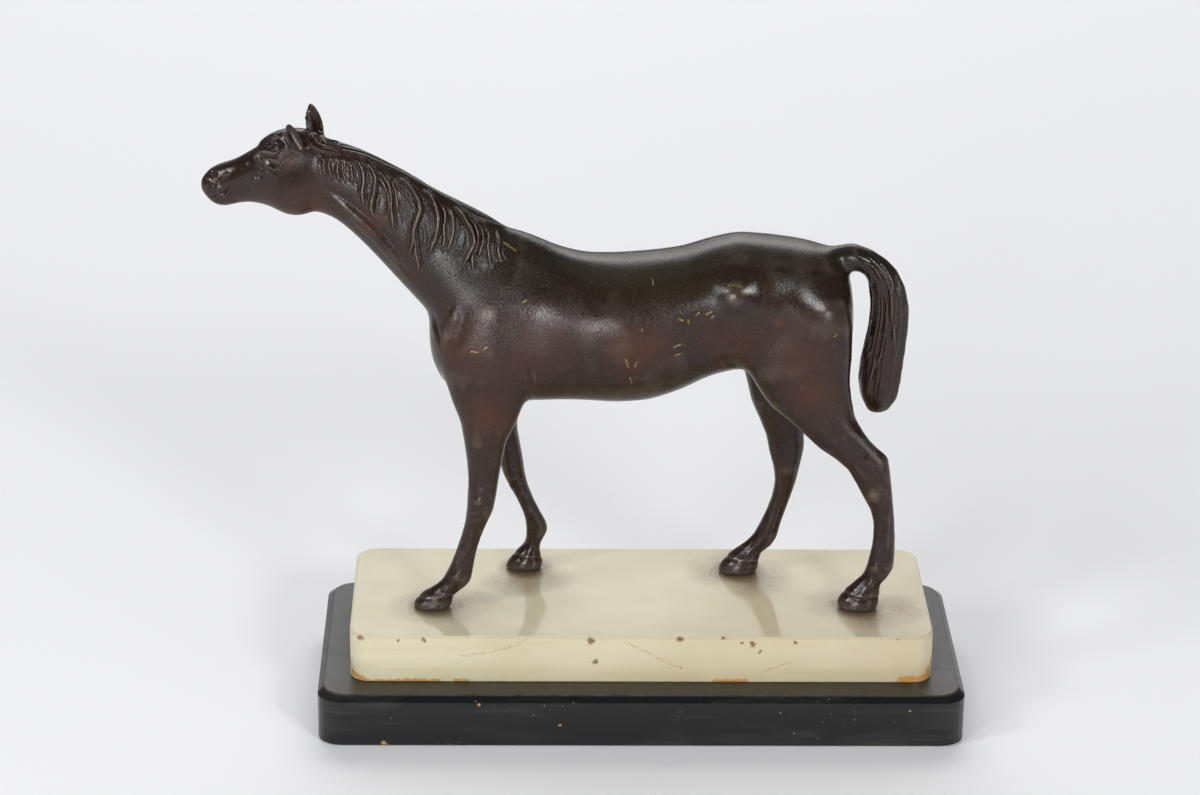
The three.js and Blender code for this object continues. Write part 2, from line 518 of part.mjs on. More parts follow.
function horseGeometry() {
  const neckCurves = stationCurves(neckStations);
  const parts = [
    loft(trunkStations, { sides: TRUNK_SIDES, square: 0.94, startRound: 1, endRound: 2.7, steps: 1 }),
    loft(neckStations, { sides: NECK_SIDES }),
    loft(headStations, { sides: HEAD_SIDES, square: 0.9, startRound: 1 }),
    loft(forelockStations, { sides: FORELOCK_SIDES, square: 0.8 }),
    leg(nearSide(nearForeStations, STANCE.nearFore)),
    leg(farSide(farForeStations, STANCE.farFore)),
    leg(nearSide(nearHindStations, STANCE.nearHind)),
    leg(farSide(farHindStations, STANCE.farHind)),
    loft(tailStations, { sides: TAIL_SIDES, endRound: 2, steps: 1, flute: tailFlute }),
    ...EARS.map(ear),
    ...eggs(EYE),
    ...eggs(BROW),
    maneRoll(neckCurves),
    ...maneLocks(neckCurves),
  ];
  const whole = parts.map(solidFrom).reduce((sum, solid) => sum.add(solid));
  const hollowed = eggs(NOSTRIL).map(solidFrom).reduce((rest, hollow) => rest.subtract(hollow), whole);
  return swell(geometryFrom(hollowed));
}

// A block with rounded upright corners, and a bevel along its top and bottom edges.
function stoneBlock({ length, depth, height, corner, topBevel, bottomBevel }) {
  const outline = new THREE.Shape();
  const [x, y] = [length / 2, depth / 2];
  outline.moveTo(-x + corner, -y);
  outline.lineTo(x - corner, -y);
  outline.absarc(x - corner, -y + corner, corner, -Math.PI / 2, 0);
  outline.absarc(x - corner, y - corner, corner, 0, Math.PI / 2);
  outline.absarc(-x + corner, y - corner, corner, Math.PI / 2, Math.PI);
  outline.absarc(-x + corner, -y + corner, corner, Math.PI, 1.5 * Math.PI);
  const edge = outline.extractPoints(CORNER_STEPS).shape.slice(0, -1);
  const level = (inset, z) =>
    edge.map((p) => new THREE.Vector3(p.x * (1 - inset / x), p.y * (1 - inset / y), z));
  const rings = [
    level(bottomBevel, 0),
    level(0, bottomBevel),
    level(0, height - topBevel),
    level(topBevel, height),
  ];
  return geometryFrom(solidFrom(skin(rings, new THREE.Vector3(0, 0, 0), new THREE.Vector3(0, 0, height))));
}

function piece(name, geometry, look, place) {
  const mesh = new THREE.Mesh(geometry, new THREE.MeshStandardMaterial(look));
  mesh.name = name;
  mesh.position.set(...place);
  return mesh;
}

const statuette = new THREE.Group();
statuette.add(piece("black_base", stoneBlock(BASE), BLACK_STONE, [0, 0, 0]));
statuette.add(piece("onyx_slab", stoneBlock(SLAB), ONYX, [0, SLAB_SETBACK, BASE.height]));
statuette.add(piece("horse", horseGeometry(), BRONZE, [0, HORSE_SETBACK, SLAB_TOP]));

export default statuette;
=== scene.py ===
# %% [markdown]
# # A bronze horse on an onyx slab and a black stone base
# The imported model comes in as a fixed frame: a faceted horse, a slab and a base, at their real size in
# metres. The slab and the base keep their solids and get a finish. The horse's solid shows facets up close,
# so a finer casting is made from a copy of it and takes its place.

# %% The frame
import math

import bmesh
import bpy
import numpy as np
from mathutils import Matrix, Vector
from mathutils.bvhtree import BVHTree


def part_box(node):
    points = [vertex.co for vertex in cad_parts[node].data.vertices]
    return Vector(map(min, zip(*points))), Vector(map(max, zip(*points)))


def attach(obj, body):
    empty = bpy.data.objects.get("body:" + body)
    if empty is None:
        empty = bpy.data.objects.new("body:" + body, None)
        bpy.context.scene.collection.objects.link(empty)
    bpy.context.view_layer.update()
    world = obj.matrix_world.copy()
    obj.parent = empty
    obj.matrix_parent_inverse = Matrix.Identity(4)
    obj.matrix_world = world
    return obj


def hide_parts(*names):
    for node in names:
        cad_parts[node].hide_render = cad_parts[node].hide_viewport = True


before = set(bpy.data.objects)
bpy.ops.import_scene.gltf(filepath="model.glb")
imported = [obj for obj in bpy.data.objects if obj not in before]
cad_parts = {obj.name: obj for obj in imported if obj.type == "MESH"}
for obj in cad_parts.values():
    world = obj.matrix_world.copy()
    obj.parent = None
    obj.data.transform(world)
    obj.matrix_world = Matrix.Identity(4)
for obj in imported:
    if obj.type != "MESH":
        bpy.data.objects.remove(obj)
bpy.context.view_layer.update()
SLAB_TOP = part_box("onyx_slab")[1][2]
MM = 0.001
print("slab top at", round(SLAB_TOP / MM, 2), "mm")

# %% [markdown]
# ## Camera
# The photograph was taken from a little over a metre with a long lens, looking down by 23 degrees. A long
# lens keeps the stone blocks almost free of perspective, so its distance and tilt matter more than its angle.

# %% Camera
PITCH, YAW, ROLL = (math.radians(v) for v in (23.054, 1.338, 0.738))
EYE = Vector((-0.037468, -1.03512, 0.540259))
camera = bpy.data.objects.new("camera", bpy.data.cameras.new("camera"))
camera.data.sensor_width = 36
camera.data.lens = 109.5
camera.data.clip_start = 0.01
bpy.context.scene.collection.objects.link(camera)
bpy.context.scene.camera = camera
tilt = Matrix.Rotation(math.pi / 2 - PITCH, 4, "X") @ Matrix.Rotation(ROLL, 4, "Z")
camera.matrix_world = Matrix.Translation(EYE) @ Matrix.Rotation(-YAW, 4, "Z") @ tilt
print("camera at", [round(v, 3) for v in EYE])

# %% [markdown]
# ## Studio
# A pale sweep of paper in a dark room, lit mostly from behind and above, as in the photograph, where the
# slab mirrors a bright backdrop and the bronze stays dark. In front there are five small soft lights, one for
# each blurred highlight on the bronze. The strengths came from rendering each light alone and finding the sum
# that comes nearest to the photograph's tones.

# %% Floor and light
LIGHT_DISTANCE = 1.3
BARREL_HEIGHT = 0.12


def area_light(name, place, target, size, watts):
    light = bpy.data.objects.new(name, bpy.data.lights.new(name, "AREA"))
    light.data.shape = "RECTANGLE"
    light.data.size, light.data.size_y = size
    light.data.energy = watts
    light.location = place
    light.rotation_euler = (Vector(target) - Vector(place)).to_track_quat("-Z", "Y").to_euler()
    bpy.context.scene.collection.objects.link(light)


def around_horse(across, up):
    """A place seen from the horse at so many degrees to the right of the front and above level."""
    level = LIGHT_DISTANCE * math.cos(math.radians(up))
    height = BARREL_HEIGHT + LIGHT_DISTANCE * math.sin(math.radians(up))
    return level * math.sin(math.radians(across)), -level * math.cos(math.radians(across)), height


HORSE = (0, 0, 0.1)
lights = {
    # place, target, size, watts
    "barrel": (around_horse(-12, 6), HORSE, (0.22, 0.26), 4),
    "mane": (around_horse(-60, 30), HORSE, (0.26, 0.26), 4.3),
    "hip": (around_horse(-35, 25), HORSE, (0.22, 0.26), 2.6),
    "thigh": (around_horse(30, 25), HORSE, (0.24, 0.26), 5.4),
    "gaskin": (around_horse(44, 5), HORSE, (0.24, 0.26), 1.8),
    "overhead": ((0, 0, 1.6), (0, 0, 0), (1.2, 1.2), 1.2),
    "behind": ((0, 1.5, 1.5), (0, 0.3, 0), (2, 1), 18),
    "backdrop": ((0, 0.9, 1.35), (0, 0.75, 0), (1.6, 0.8), 4.2),
    "low behind": ((0, 2.2, 0.9), (0, 0.2, 0), (2.4, 0.6), 6),
}
for name, (place, target, size, watts) in lights.items():
    area_light(name, place, target, size, watts)
print(len(lights), "lights, together", round(sum(light[3] for light in lights.values()), 1), "watts")

world = bpy.data.worlds.new("room")
bpy.context.scene.world = world
world.use_nodes = True
world.node_tree.nodes["Background"].inputs["Color"].default_value = (0.95, 0.97, 1.0, 1)
world.node_tree.nodes["Background"].inputs["Strength"].default_value = 0.155

sweep = bmesh.new()
bmesh.ops.create_grid(sweep, x_segments=2, y_segments=2, size=2.4)
floor_mesh = bpy.data.meshes.new("floor")
sweep.to_mesh(floor_mesh)
sweep.free()
floor = bpy.data.objects.new("floor", floor_mesh)
bpy.context.scene.collection.objects.link(floor)
bpy.context.scene.view_settings.view_transform = "Standard"


# %% [markdown]
# ## Materials
# Every finish is one Principled shader fed by a few noise patterns in object space, in metres. The helper
# below adds a node, sets its values and joins its inputs in one line. Marks are masks from 0 to 1, and a
# finish is built like the real one: a base colour with thin layers over it.

# %% Node helper
class Finish:
    def __init__(self, name):
        self.material = bpy.data.materials.new(name)
        self.material.use_nodes = True
        self.tree = self.material.node_tree
        self.shader = self.tree.nodes["Principled BSDF"]

    def add(self, kind, settings=None, **inputs):
        node = self.tree.nodes.new("ShaderNode" + kind)
        for key, value in (settings or {}).items():
            setattr(node, key, value)
        for key, value in inputs.items():
            socket = node.inputs[int(key[1:])] if key[0] == "_" else node.inputs[key.replace("_", " ")]
            self.join(value, socket)
        return node

    def join(self, value, socket):
        if isinstance(value, bpy.types.NodeSocket):
            self.tree.links.new(value, socket)
        else:
            socket.default_value = value

    def place(self):
        return self.add("TexCoord").outputs["Object"]

    def noise(self, scale, detail=3, rough=0.5, stretch=(1, 1, 1)):
        where = self.place()
        if stretch != (1, 1, 1):
            where = self.add("Mapping", Vector=where, Scale=stretch).outputs[0]
        node = self.add("TexNoise", Vector=where, Scale=scale, Detail=detail, Roughness=rough)
        return node.outputs["Fac"]

    def ramp(self, value, low, high, start=0.0, end=1.0):
        """Start where the value is low, end where it's high, straight in between."""
        node = self.add("MapRange", Value=value, _1=low, _2=high, _3=start, _4=end)
        return node.outputs[0]

    def math(self, how, a, b=0.0):
        return self.add("Math", {"operation": how}, _0=a, _1=b).outputs[0]

    def mix(self, amount, a, b):
        node = self.add("Mix", {"data_type": "RGBA"}, _0=amount, _6=a, _7=b)
        return node.outputs[2]

    def layer(self, under, mask, colour, share=1.0):
        """A colour over another one where the mask says, no denser than its share."""
        return self.mix(self.math("MULTIPLY", mask, share), under, (*colour, 1))

    def bump(self, height, strength, distance, under=None):
        node = self.add("Bump", Height=height, Strength=strength, Distance=distance)
        if under:
            self.join(under, node.inputs["Normal"])
        return node.outputs[0]

    def shaken(self, scale, amount):
        """The place, pushed about by a noise, in millimetres, so that a mark's outline turns ragged."""
        cloud = self.add("TexNoise", Vector=self.place(), Scale=scale, Detail=4).outputs["Color"]
        push = self.vector("MULTIPLY_ADD", cloud, [amount * MM] * 3, [-amount * MM / 2] * 3)
        return self.vector("ADD", self.place(), push)

    def vector(self, how, *values):
        node = self.add("VectorMath", {"operation": how}, **{f"_{k}": v for k, v in enumerate(values)})
        return node.outputs["Value" if how in ("DISTANCE", "DOT_PRODUCT") else "Vector"]

    def spot(self, where, centre, radius, soft=0.6):
        """1 at a place given in millimetres, 0 beyond the radius."""
        gap = self.vector("DISTANCE", where, Vector(centre) * MM)
        return self.ramp(gap, radius * MM, radius * (1 - soft) * MM)

    def streak(self, where, start, end, radius, soft=0.6):
        """The same along a line between two places."""
        run = (Vector(end) - Vector(start)) * MM
        out = self.vector("SUBTRACT", where, Vector(start) * MM)
        share = self.add("Clamp", Value=self.vector("DOT_PRODUCT", out, run / run.length_squared)).outputs[0]
        foot = self.add("VectorMath", {"operation": "SCALE"}, _0=run, Scale=share).outputs[0]
        return self.ramp(self.vector("DISTANCE", out, foot), radius * MM, radius * (1 - soft) * MM)

    def most(self, masks):
        """All the marks in one mask."""
        result = masks[0]
        for mask in masks[1:]:
            result = self.math("MAXIMUM", result, mask)
        return result

    def feed(self, **inputs):
        for key, value in inputs.items():
            self.join(value, self.shader.inputs[key.replace("_", " ")])


def dress(node, finish):
    node.data.materials.clear()
    node.data.materials.append(finish.material)
    print(node.name, "in", finish.material.name, "with", len(finish.tree.nodes), "nodes")


paper = Finish("paper")
paper.feed(Base_Color=(0.866, 0.866, 0.88, 1), Roughness=0.9)
dress(floor, paper)

# %% [markdown]
# ## Onyx
# The slab is a polished block of cream onyx, cloudy with pale yellow-green and brown and browner at its right
# end. The clouds are stretched along the block, as its layers are.

# %% Onyx
onyx = Finish("onyx")
place = onyx.place()
cloud = onyx.ramp(onyx.noise(16, 5, 0.55, stretch=(1, 1.6, 3)), 0.38, 0.64)
stone = onyx.mix(cloud, (0.655, 0.60, 0.43, 1), (0.55, 0.515, 0.33, 1))
brown_cloud = onyx.ramp(onyx.noise(9, 4, 0.6, stretch=(1, 1.3, 1)), 0.46, 0.68, 0, 0.6)
stone = onyx.layer(stone, brown_cloud, (0.55, 0.44, 0.29))
thin_bands = onyx.ramp(onyx.noise(30, 4, 0.6, stretch=(0.5, 0.5, 9)), 0.52, 0.7, 0, 0.4)
stone = onyx.layer(stone, thin_bands, (0.56, 0.47, 0.29))
along = onyx.add("SeparateXYZ", _0=place).outputs[0]
right_end = onyx.ramp(along, 45 * MM, 85 * MM, 0, 0.35)
stone = onyx.layer(stone, right_end, (0.45, 0.37, 0.24))

# %% [markdown]
# ## Dust and painted shade on the onyx
# Dust and old polish have gathered round the hooves, where a cloth doesn't reach: a speckled brown haze,
# partly dust and partly painted shadow, and a darker ring close to each hoof, partly grime and partly painted
# contact shade.

# %% Dust and painted shade on the onyx
TOP = SLAB_TOP / MM
DUST_AND_SHADOW_SPOTS = [(-56, -9, 13), (-67, -10, 13), (-33, 13, 14), (-39, 8, 12), (36, 11, 15), (27, 15, 14),
        (72, -14, 14), (80, -12, 12), (61, -7, 12)]
HOOVES = [(-64, -9.7), (-36, 18.5), (68, -9.6), (32, 16.3)]
ragged = onyx.shaken(90, 9)
dust_and_shadow_haze = onyx.most([onyx.spot(ragged, (x, y, TOP), radius, 1) for x, y, radius in DUST_AND_SHADOW_SPOTS])
speckle = onyx.ramp(onyx.noise(1300, 2, 0.6), 0.42, 0.6)
dust_and_shadow = onyx.math("MULTIPLY", dust_and_shadow_haze, onyx.ramp(speckle, 0, 1, 0.5, 1))
# Dust and painted shadow: a speckled dark brown haze round and behind the hooves.
stone = onyx.layer(stone, dust_and_shadow, (0.19, 0.115, 0.075), 0.95)
grime_and_contact_shade = onyx.most([onyx.spot(place, (x, y, TOP), 9.5, 0.45) for x, y in HOOVES])
# Grime and painted contact shade: a darker ring close to each hoof.
stone = onyx.layer(stone, grime_and_contact_shade, (0.14, 0.1, 0.045), 0.8)

# %% [markdown]
# ## Chips, veins and varnish
# Along the slab's front there are brown chips, a hair-thin vein, fine scratches, and orange varnish that ran
# into the joint with the black stone. They're colour, with a slight dent in the finish for the chips.

# %% Chips, veins and varnish
FRONT = -30.8
fine_edge = onyx.shaken(800, 2.4)
chips = [(-87.2, 32.2, 2.2), (-74.9, 31.3, 0.7), (-67.3, 31.4, 0.9), (-53.7, 32.5, 0.8), (-15.7, 31.2, 1.7),
         (-14.3, 23.8, 1.1), (1.6, 32.2, 0.6), (11.6, 31.9, 1.6), (25, 32.5, 1.2), (30.7, 30.8, 0.8),
         (34, 30.2, 1.5), (36.4, 27.7, 0.8), (47.1, 30.7, 1), (78.8, 32.3, 0.9)]
chipped = onyx.most([onyx.spot(fine_edge, (x, FRONT, z), 0.85 * r, 0.5) for x, z, r in chips])
stone = onyx.layer(stone, chipped, (0.17, 0.07, 0.014), 0.85)
vein_knots = [(-55.4, 26.1), (-49.5, 26.9), (-43.8, 28.2), (-38.5, 29.8), (-35, 32.4)]
scratch_knots = [[(-4.6, 30.6), (4, 26)], [(4, 26), (12.6, 21.7)], [(38.1, 20.9), (45.8, 24)]]
lines = [*zip(vein_knots, vein_knots[1:]), *scratch_knots]
veins = onyx.most([onyx.streak(fine_edge, (a[0], FRONT, a[1]), (b[0], FRONT, b[1]), 0.45, 0.9)
                   for a, b in lines])
stone = onyx.layer(stone, veins, (0.36, 0.22, 0.09), 0.55)
runs = [((-89, -28, 19), (-85.5, FRONT, 17.4), 1.3), ((-84, FRONT, 17.2), (-63, FRONT, 17.4), 0.8),
        ((-57, FRONT, 17.4), (-54, FRONT, 17.4), 0.9), ((23, FRONT, 17.2), (32, FRONT, 17.2), 1),
        ((81, FRONT, 17.6), (89, -28.5, 18.6), 1.9), ((88.4, -28.5, 18), (88.7, -28.5, 21), 1.1)]
varnish = onyx.most([onyx.streak(fine_edge, a, b, r, 0.4) for a, b, r in runs])
stone = onyx.layer(stone, varnish, (0.52, 0.24, 0.045), 0.85)

# %% [markdown]
# ## Polish on the onyx
# It's glossy enough to mirror the legs, except under the dust and painted shadow round the hooves and in the
# chips, and lets a little light in.

# %% Polish on the onyx
gloss = onyx.ramp(onyx.noise(60, 3), 0.35, 0.7, 0.08, 0.18)
gloss = onyx.math("ADD", gloss, onyx.math("MULTIPLY", dust_and_shadow, 0.35))
gloss = onyx.math("ADD", gloss, onyx.math("MULTIPLY", chipped, 0.3))
dents = onyx.bump(onyx.math("MULTIPLY", chipped, -1), 0.6, 0.4 * MM)
onyx.feed(Base_Color=stone, Roughness=gloss, Normal=onyx.bump(onyx.noise(900, 2), 0.12, 0.03 * MM, dents))
onyx.feed(Subsurface_Weight=0.12, Subsurface_Scale=0.004, Specular_IOR_Level=0.6)
dress(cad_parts["onyx_slab"], onyx)

# %% [markdown]
# ## Black stone
# The base is black stone, polished on its front and chamfers. Its ledges are dull with dust, browner in
# front, and its front face has rubbed patches and fine scratches that run along it.

# %% Black stone
BASE_TOP = 17
black = Finish("black stone")
axes = black.add("SeparateXYZ", _0=black.place())
ledge = black.ramp(axes.outputs[2], (BASE_TOP - 0.5) * MM, (BASE_TOP - 0.1) * MM)
in_front = black.math("MULTIPLY", ledge, black.ramp(axes.outputs[1], -29 * MM, -32 * MM))
rubbed = black.ramp(black.noise(30, 6, 0.7, stretch=(0.6, 0.6, 5)), 0.5, 0.68)
hairlines = black.ramp(black.noise(160, 4, 0.7, stretch=(0.12, 0.12, 3)), 0.58, 0.72)
worn = black.math("MULTIPLY", black.math("ADD", rubbed, hairlines), 0.5)
colour = black.mix(worn, (0.004, 0.0042, 0.005, 1), (0.034, 0.031, 0.027, 1))
dusty = black.ramp(black.noise(500, 4, 0.7), 0.35, 0.7)
colour = black.mix(ledge, colour, black.mix(dusty, (0.028, 0.028, 0.03, 1), (0.062, 0.06, 0.058, 1)))
colour = black.mix(in_front, colour, black.mix(dusty, (0.022, 0.018, 0.011, 1), (0.062, 0.05, 0.032, 1)))
flecks = black.ramp(black.noise(650, 2, 0.5), 0.735, 0.76)
colour = black.layer(colour, flecks, (0.32, 0.28, 0.2), 0.6)
nicks = [((-79.5, -41, 1.1), 1.1), ((-50, -40.8, 14.3), 0.6), ((-25.3, -41, 7.5), 0.5)]
nicked = black.most([black.spot(black.shaken(500, 1.5), place, radius, 0.5) for place, radius in nicks])
colour = black.layer(colour, nicked, (0.4, 0.2, 0.06))
polish = black.ramp(worn, 0, 1, 0.2, 0.42)
rough = black.add("Mix", _0=ledge, _2=polish, _3=black.ramp(dusty, 0, 1, 0.36, 0.55)).outputs[0]
black.feed(Base_Color=colour, Roughness=rough)
black.feed(Normal=black.bump(black.noise(1100, 3, 0.6), 0.15, 0.04 * MM))
dress(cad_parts["black_base"], black)

# %% [markdown]
# ## The casting
# The faceted solid is melted into one even skin with a voxel remesh, and the facets are smoothed away. Plain
# smoothing would shrink the thin legs, so what it took off along each normal is blurred and given back: the
# facets go and the thickness stays.

# %% Skin from the solid
VOXEL = 0.45 * MM


def merged_copy(source):
    bm = bmesh.new()
    bm.from_mesh(source.data)
    bmesh.ops.remove_doubles(bm, verts=bm.verts, dist=1e-6)
    mesh = bpy.data.meshes.new("horse_casting")
    bm.to_mesh(mesh)
    bm.free()
    return mesh


def modified(mesh, kind, **settings):
    """A new mesh, as the modifier leaves the given one."""
    obj = bpy.data.objects.new("on the bench", mesh)
    bpy.context.scene.collection.objects.link(obj)
    modifier = obj.modifiers.new(kind, kind)
    for key, value in settings.items():
        setattr(modifier, key, value)
    result = bpy.data.meshes.new_from_object(obj.evaluated_get(bpy.context.evaluated_depsgraph_get()))
    bpy.data.objects.remove(obj)
    return result


# %% [markdown]
# ## Ears
# Each ear is a cupped leaf: a round back, a hollow front and a rim on both sides. A founder would work them
# up in wax on the finished head. Each base and tip is given as it shows in the photograph, with how far to
# the side it lies, and the leaves melt into the head when it's cast as one skin.

# %% Ears
EAR_RINGS = 9
HALF_ROUND = 8


def on_sight(x, above, sheet, y):
    """The point at y on the camera's line of sight through a point of an upright sheet."""
    aim = Vector((x, sheet, above + SLAB_TOP / MM)) - EYE / MM
    return EYE / MM + aim * ((y - EYE.y / MM) / aim.y)


def add_ear(bm, base, tip, wide, thick, facing):
    """A leaf of rings from its base to its tip, hollow on the side it faces and round on the other."""
    up = tip - base
    across = Vector(facing).cross(up).normalized()
    ahead = up.cross(across).normalized()
    rings = []
    for k in range(EAR_RINGS):
        t = k / EAR_RINGS
        width = wide * (1 - t**2.7) ** 0.6 * (0.8 + 0.2 * math.sin(math.pi * t))
        depth = thick * (1 - t) ** 0.35
        spots = []
        for j in range(2 * HALF_ROUND):
            share = math.cos(math.pi * j / HALF_ROUND)
            hollow = 0.6 - 1.5 * (1 - share**2)
            bulge = -1.1 * math.sqrt(max(0, 1 - share**2))
            forward = depth * (hollow if j < HALF_ROUND else bulge)
            spots.append(bm.verts.new((base + up * t + across * share * width + ahead * forward) * MM))
        rings.append(spots)
    top = bm.verts.new(tip * MM)
    count = len(rings[0])
    for low, high in zip(rings, rings[1:]):
        for j in range(count):
            bm.faces.new((low[j], low[(j + 1) % count], high[(j + 1) % count], high[j]))
    for j in range(count):
        bm.faces.new((rings[-1][j], rings[-1][(j + 1) % count], top))
    bm.faces.new(rings[0])


def with_ears(mesh):
    bm = bmesh.new()
    bm.from_mesh(mesh)
    add_ear(bm, on_sight(-104.8, 145.8, 5, 0.2), on_sight(-108.1, 154.1, 5, -3.4), 2.6, 1.7, (-0.45, -1, 0.3))
    add_ear(bm, on_sight(-99.1, 149.2, 5, 7.2), on_sight(-101.3, 160.9, 5, 9.8), 3.1, 1.7, (-0.35, -1, 0.2))
    bmesh.ops.recalc_face_normals(bm, faces=bm.faces)
    bm.to_mesh(mesh)
    bm.free()
    return mesh


solid_mesh = with_ears(merged_copy(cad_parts["horse"]))
skin = modified(solid_mesh, "REMESH", mode="VOXEL", voxel_size=VOXEL)
print("skin has", len(skin.vertices), "points")


# %% [markdown]
# ## Reading a mesh as rows of numbers
# The skin has hundreds of thousands of points, so it's smoothed and carved as a table with a row a point.

# %% Points and edges
def points_of(mesh):
    points = np.empty(len(mesh.vertices) * 3)
    mesh.vertices.foreach_get("co", points)
    return points.reshape(-1, 3)


def normals_of(mesh):
    normals = np.empty(len(mesh.vertices) * 3)
    mesh.vertices.foreach_get("normal", normals)
    return normals.reshape(-1, 3)


def put_points(mesh, points):
    mesh.vertices.foreach_set("co", points.ravel())
    mesh.update()


def edges_of(mesh):
    edges = np.empty(len(mesh.edges) * 2, dtype=np.int64)
    mesh.edges.foreach_get("vertices", edges)
    return edges.reshape(-1, 2)


def blurred(values, edges, rounds, weight=0.5):
    """Every value moves towards the mean of its neighbours, by its weight, so many times."""
    a, b = edges.T
    count = len(values)
    degree = np.bincount(a, minlength=count) + np.bincount(b, minlength=count)
    for _ in range(rounds):
        mean = np.stack(
            [
                np.bincount(a, weights=values[b, k], minlength=count)
                + np.bincount(b, weights=values[a, k], minlength=count)
                for k in range(values.shape[1])
            ],
            axis=1,
        ) / degree[:, None]
        values = values + weight * (mean - values)
    return values


def fade(value, low, high):
    """0 below low, 1 above high, and a soft step in between."""
    t = np.clip((value - low) / (high - low), 0, 1)
    return t * t * (3 - 2 * t)


def places(points):
    """How far along, how far back and how far above the slab, in millimetres."""
    x, y, z = (points / MM).T
    return x, y, z - SLAB_TOP / MM


def tree_of(mesh):
    bm = bmesh.new()
    bm.from_mesh(mesh)
    tree = BVHTree.FromBMesh(bm)
    bm.free()
    return tree


# %% [markdown]
# ## Smoothing
# Every point moves towards the mean of its neighbours, many times over: far on the trunk, a little on the
# legs and hardly at all on the ears. What that took off is then given back, blurred.

# %% Smoothing
SMOOTHING_ROUNDS = 170
GIVING_BACK_ROUNDS = 100
points = points_of(skin)
edges = edges_of(skin)
x, y, above = places(points)
trunk = fade(x, -70, -52) * (1 - fade(x, 56, 64)) * fade(above, 58, 76)
neck = fade(x, -98, -90) * (1 - fade(x, -60, -48)) * fade(above, 70, 90)
near_ear = (x > -111) & (x < -102.5) & (y < 1.5) & (above > 149.5)
far_ear = (x > -104.5) & (x < -95) & (y > 4.5) & (above > 151.5)
softness = np.clip(0.07 + 0.73 * trunk + 0.45 * neck, 0, 0.8)
softness = np.where(near_ear | far_ear, 0.035, softness)[:, None]
smooth = blurred(points, edges, SMOOTHING_ROUNDS, softness)
put_points(skin, smooth)
normals = normals_of(skin)
lost = np.sum((points - smooth) * normals, axis=1)[:, None]
lost = blurred(lost, edges, GIVING_BACK_ROUNDS, 0.8)
put_points(skin, smooth + lost * normals)
print("given back", round(float(np.abs(lost).mean() / MM), 3), "mm on average")

# %% [markdown]
# ## Finer skin where the carving goes
# Face, mane and tail get four faces for each one, since strands of hair there are under a millimetre wide.

# %% Finer skin
MIDDLE = 3.5


def finer(mesh, wanted):
    """Every edge of the wanted faces is halved, so each face becomes four."""
    bm = bmesh.new()
    bm.from_mesh(mesh)
    centres = np.array([face.calc_center_median() for face in bm.faces])
    picked = wanted(*places(centres))
    bm.faces.ensure_lookup_table()
    cuts = {edge for k in np.flatnonzero(picked) for edge in bm.faces[k].edges}
    bmesh.ops.subdivide_edges(bm, edges=list(cuts), cuts=1, use_grid_fill=True)
    bm.to_mesh(mesh)
    bm.free()


def carved_places(x, y, above):
    """The face, the near side's mane and the tail."""
    mane_foot = np.interp(x, (-98, -90, -80, -66, -41), (134, 132, 120, 103, 107))
    mane = (x > -99) & (x < -41) & (above > mane_foot) & (y < MIDDLE + 3)
    tail = (x > 64.5) & (above > 60) | (x > 58) & (above > 108)
    return (x < -97) | mane | tail


finer(skin, carved_places)
print("skin now has", len(skin.vertices), "points")

# %% [markdown]
# ## Carving along lines of sight
# What shows in the photograph is laid out as strokes on upright sheets that stand across the camera's view:
# each point is a place along the horse and a height above the slab, in millimetres. A line from the camera
# through such a point meets the bronze just where the feature shows. A stroke then swells or cuts the skin
# along its normals, over one width on its left and another on its right, so a lock of hair can rise gently
# and end in a sharp step.

# %% Stroke tools
STEP = 0.25
LONGEST_JUMP = 12 * STEP
END_WIDTH = 0.4


def curve_through(knots, step=STEP):
    """A smooth curve through all the knots, as points about a step apart."""
    knots = np.array(knots, dtype=float)
    if len(knots) == 1:
        return knots
    ends = np.vstack([2 * knots[0] - knots[1], knots, 2 * knots[-1] - knots[-2]])
    out = []
    for a, b, c, d in zip(ends, ends[1:], ends[2:], ends[3:]):
        t = np.linspace(0, 1, max(2, int(np.linalg.norm(c - b) / step)), endpoint=False)[:, None]
        bend = (2 * a - 5 * b + 4 * c - d) * t**2 + (3 * b - a - 3 * c + d) * t**3
        out.append(0.5 * (2 * b + (c - a) * t + bend))
    return np.vstack([*out, knots[-1:]])


def rows(vectors):
    return np.array(vectors).reshape(-1, 3)


def sight_line(x, above, sheet):
    """The way from the eye through a point of an upright sheet."""
    return (Vector((x * MM, sheet * MM, above * MM + SLAB_TOP)) - EYE).normalized()


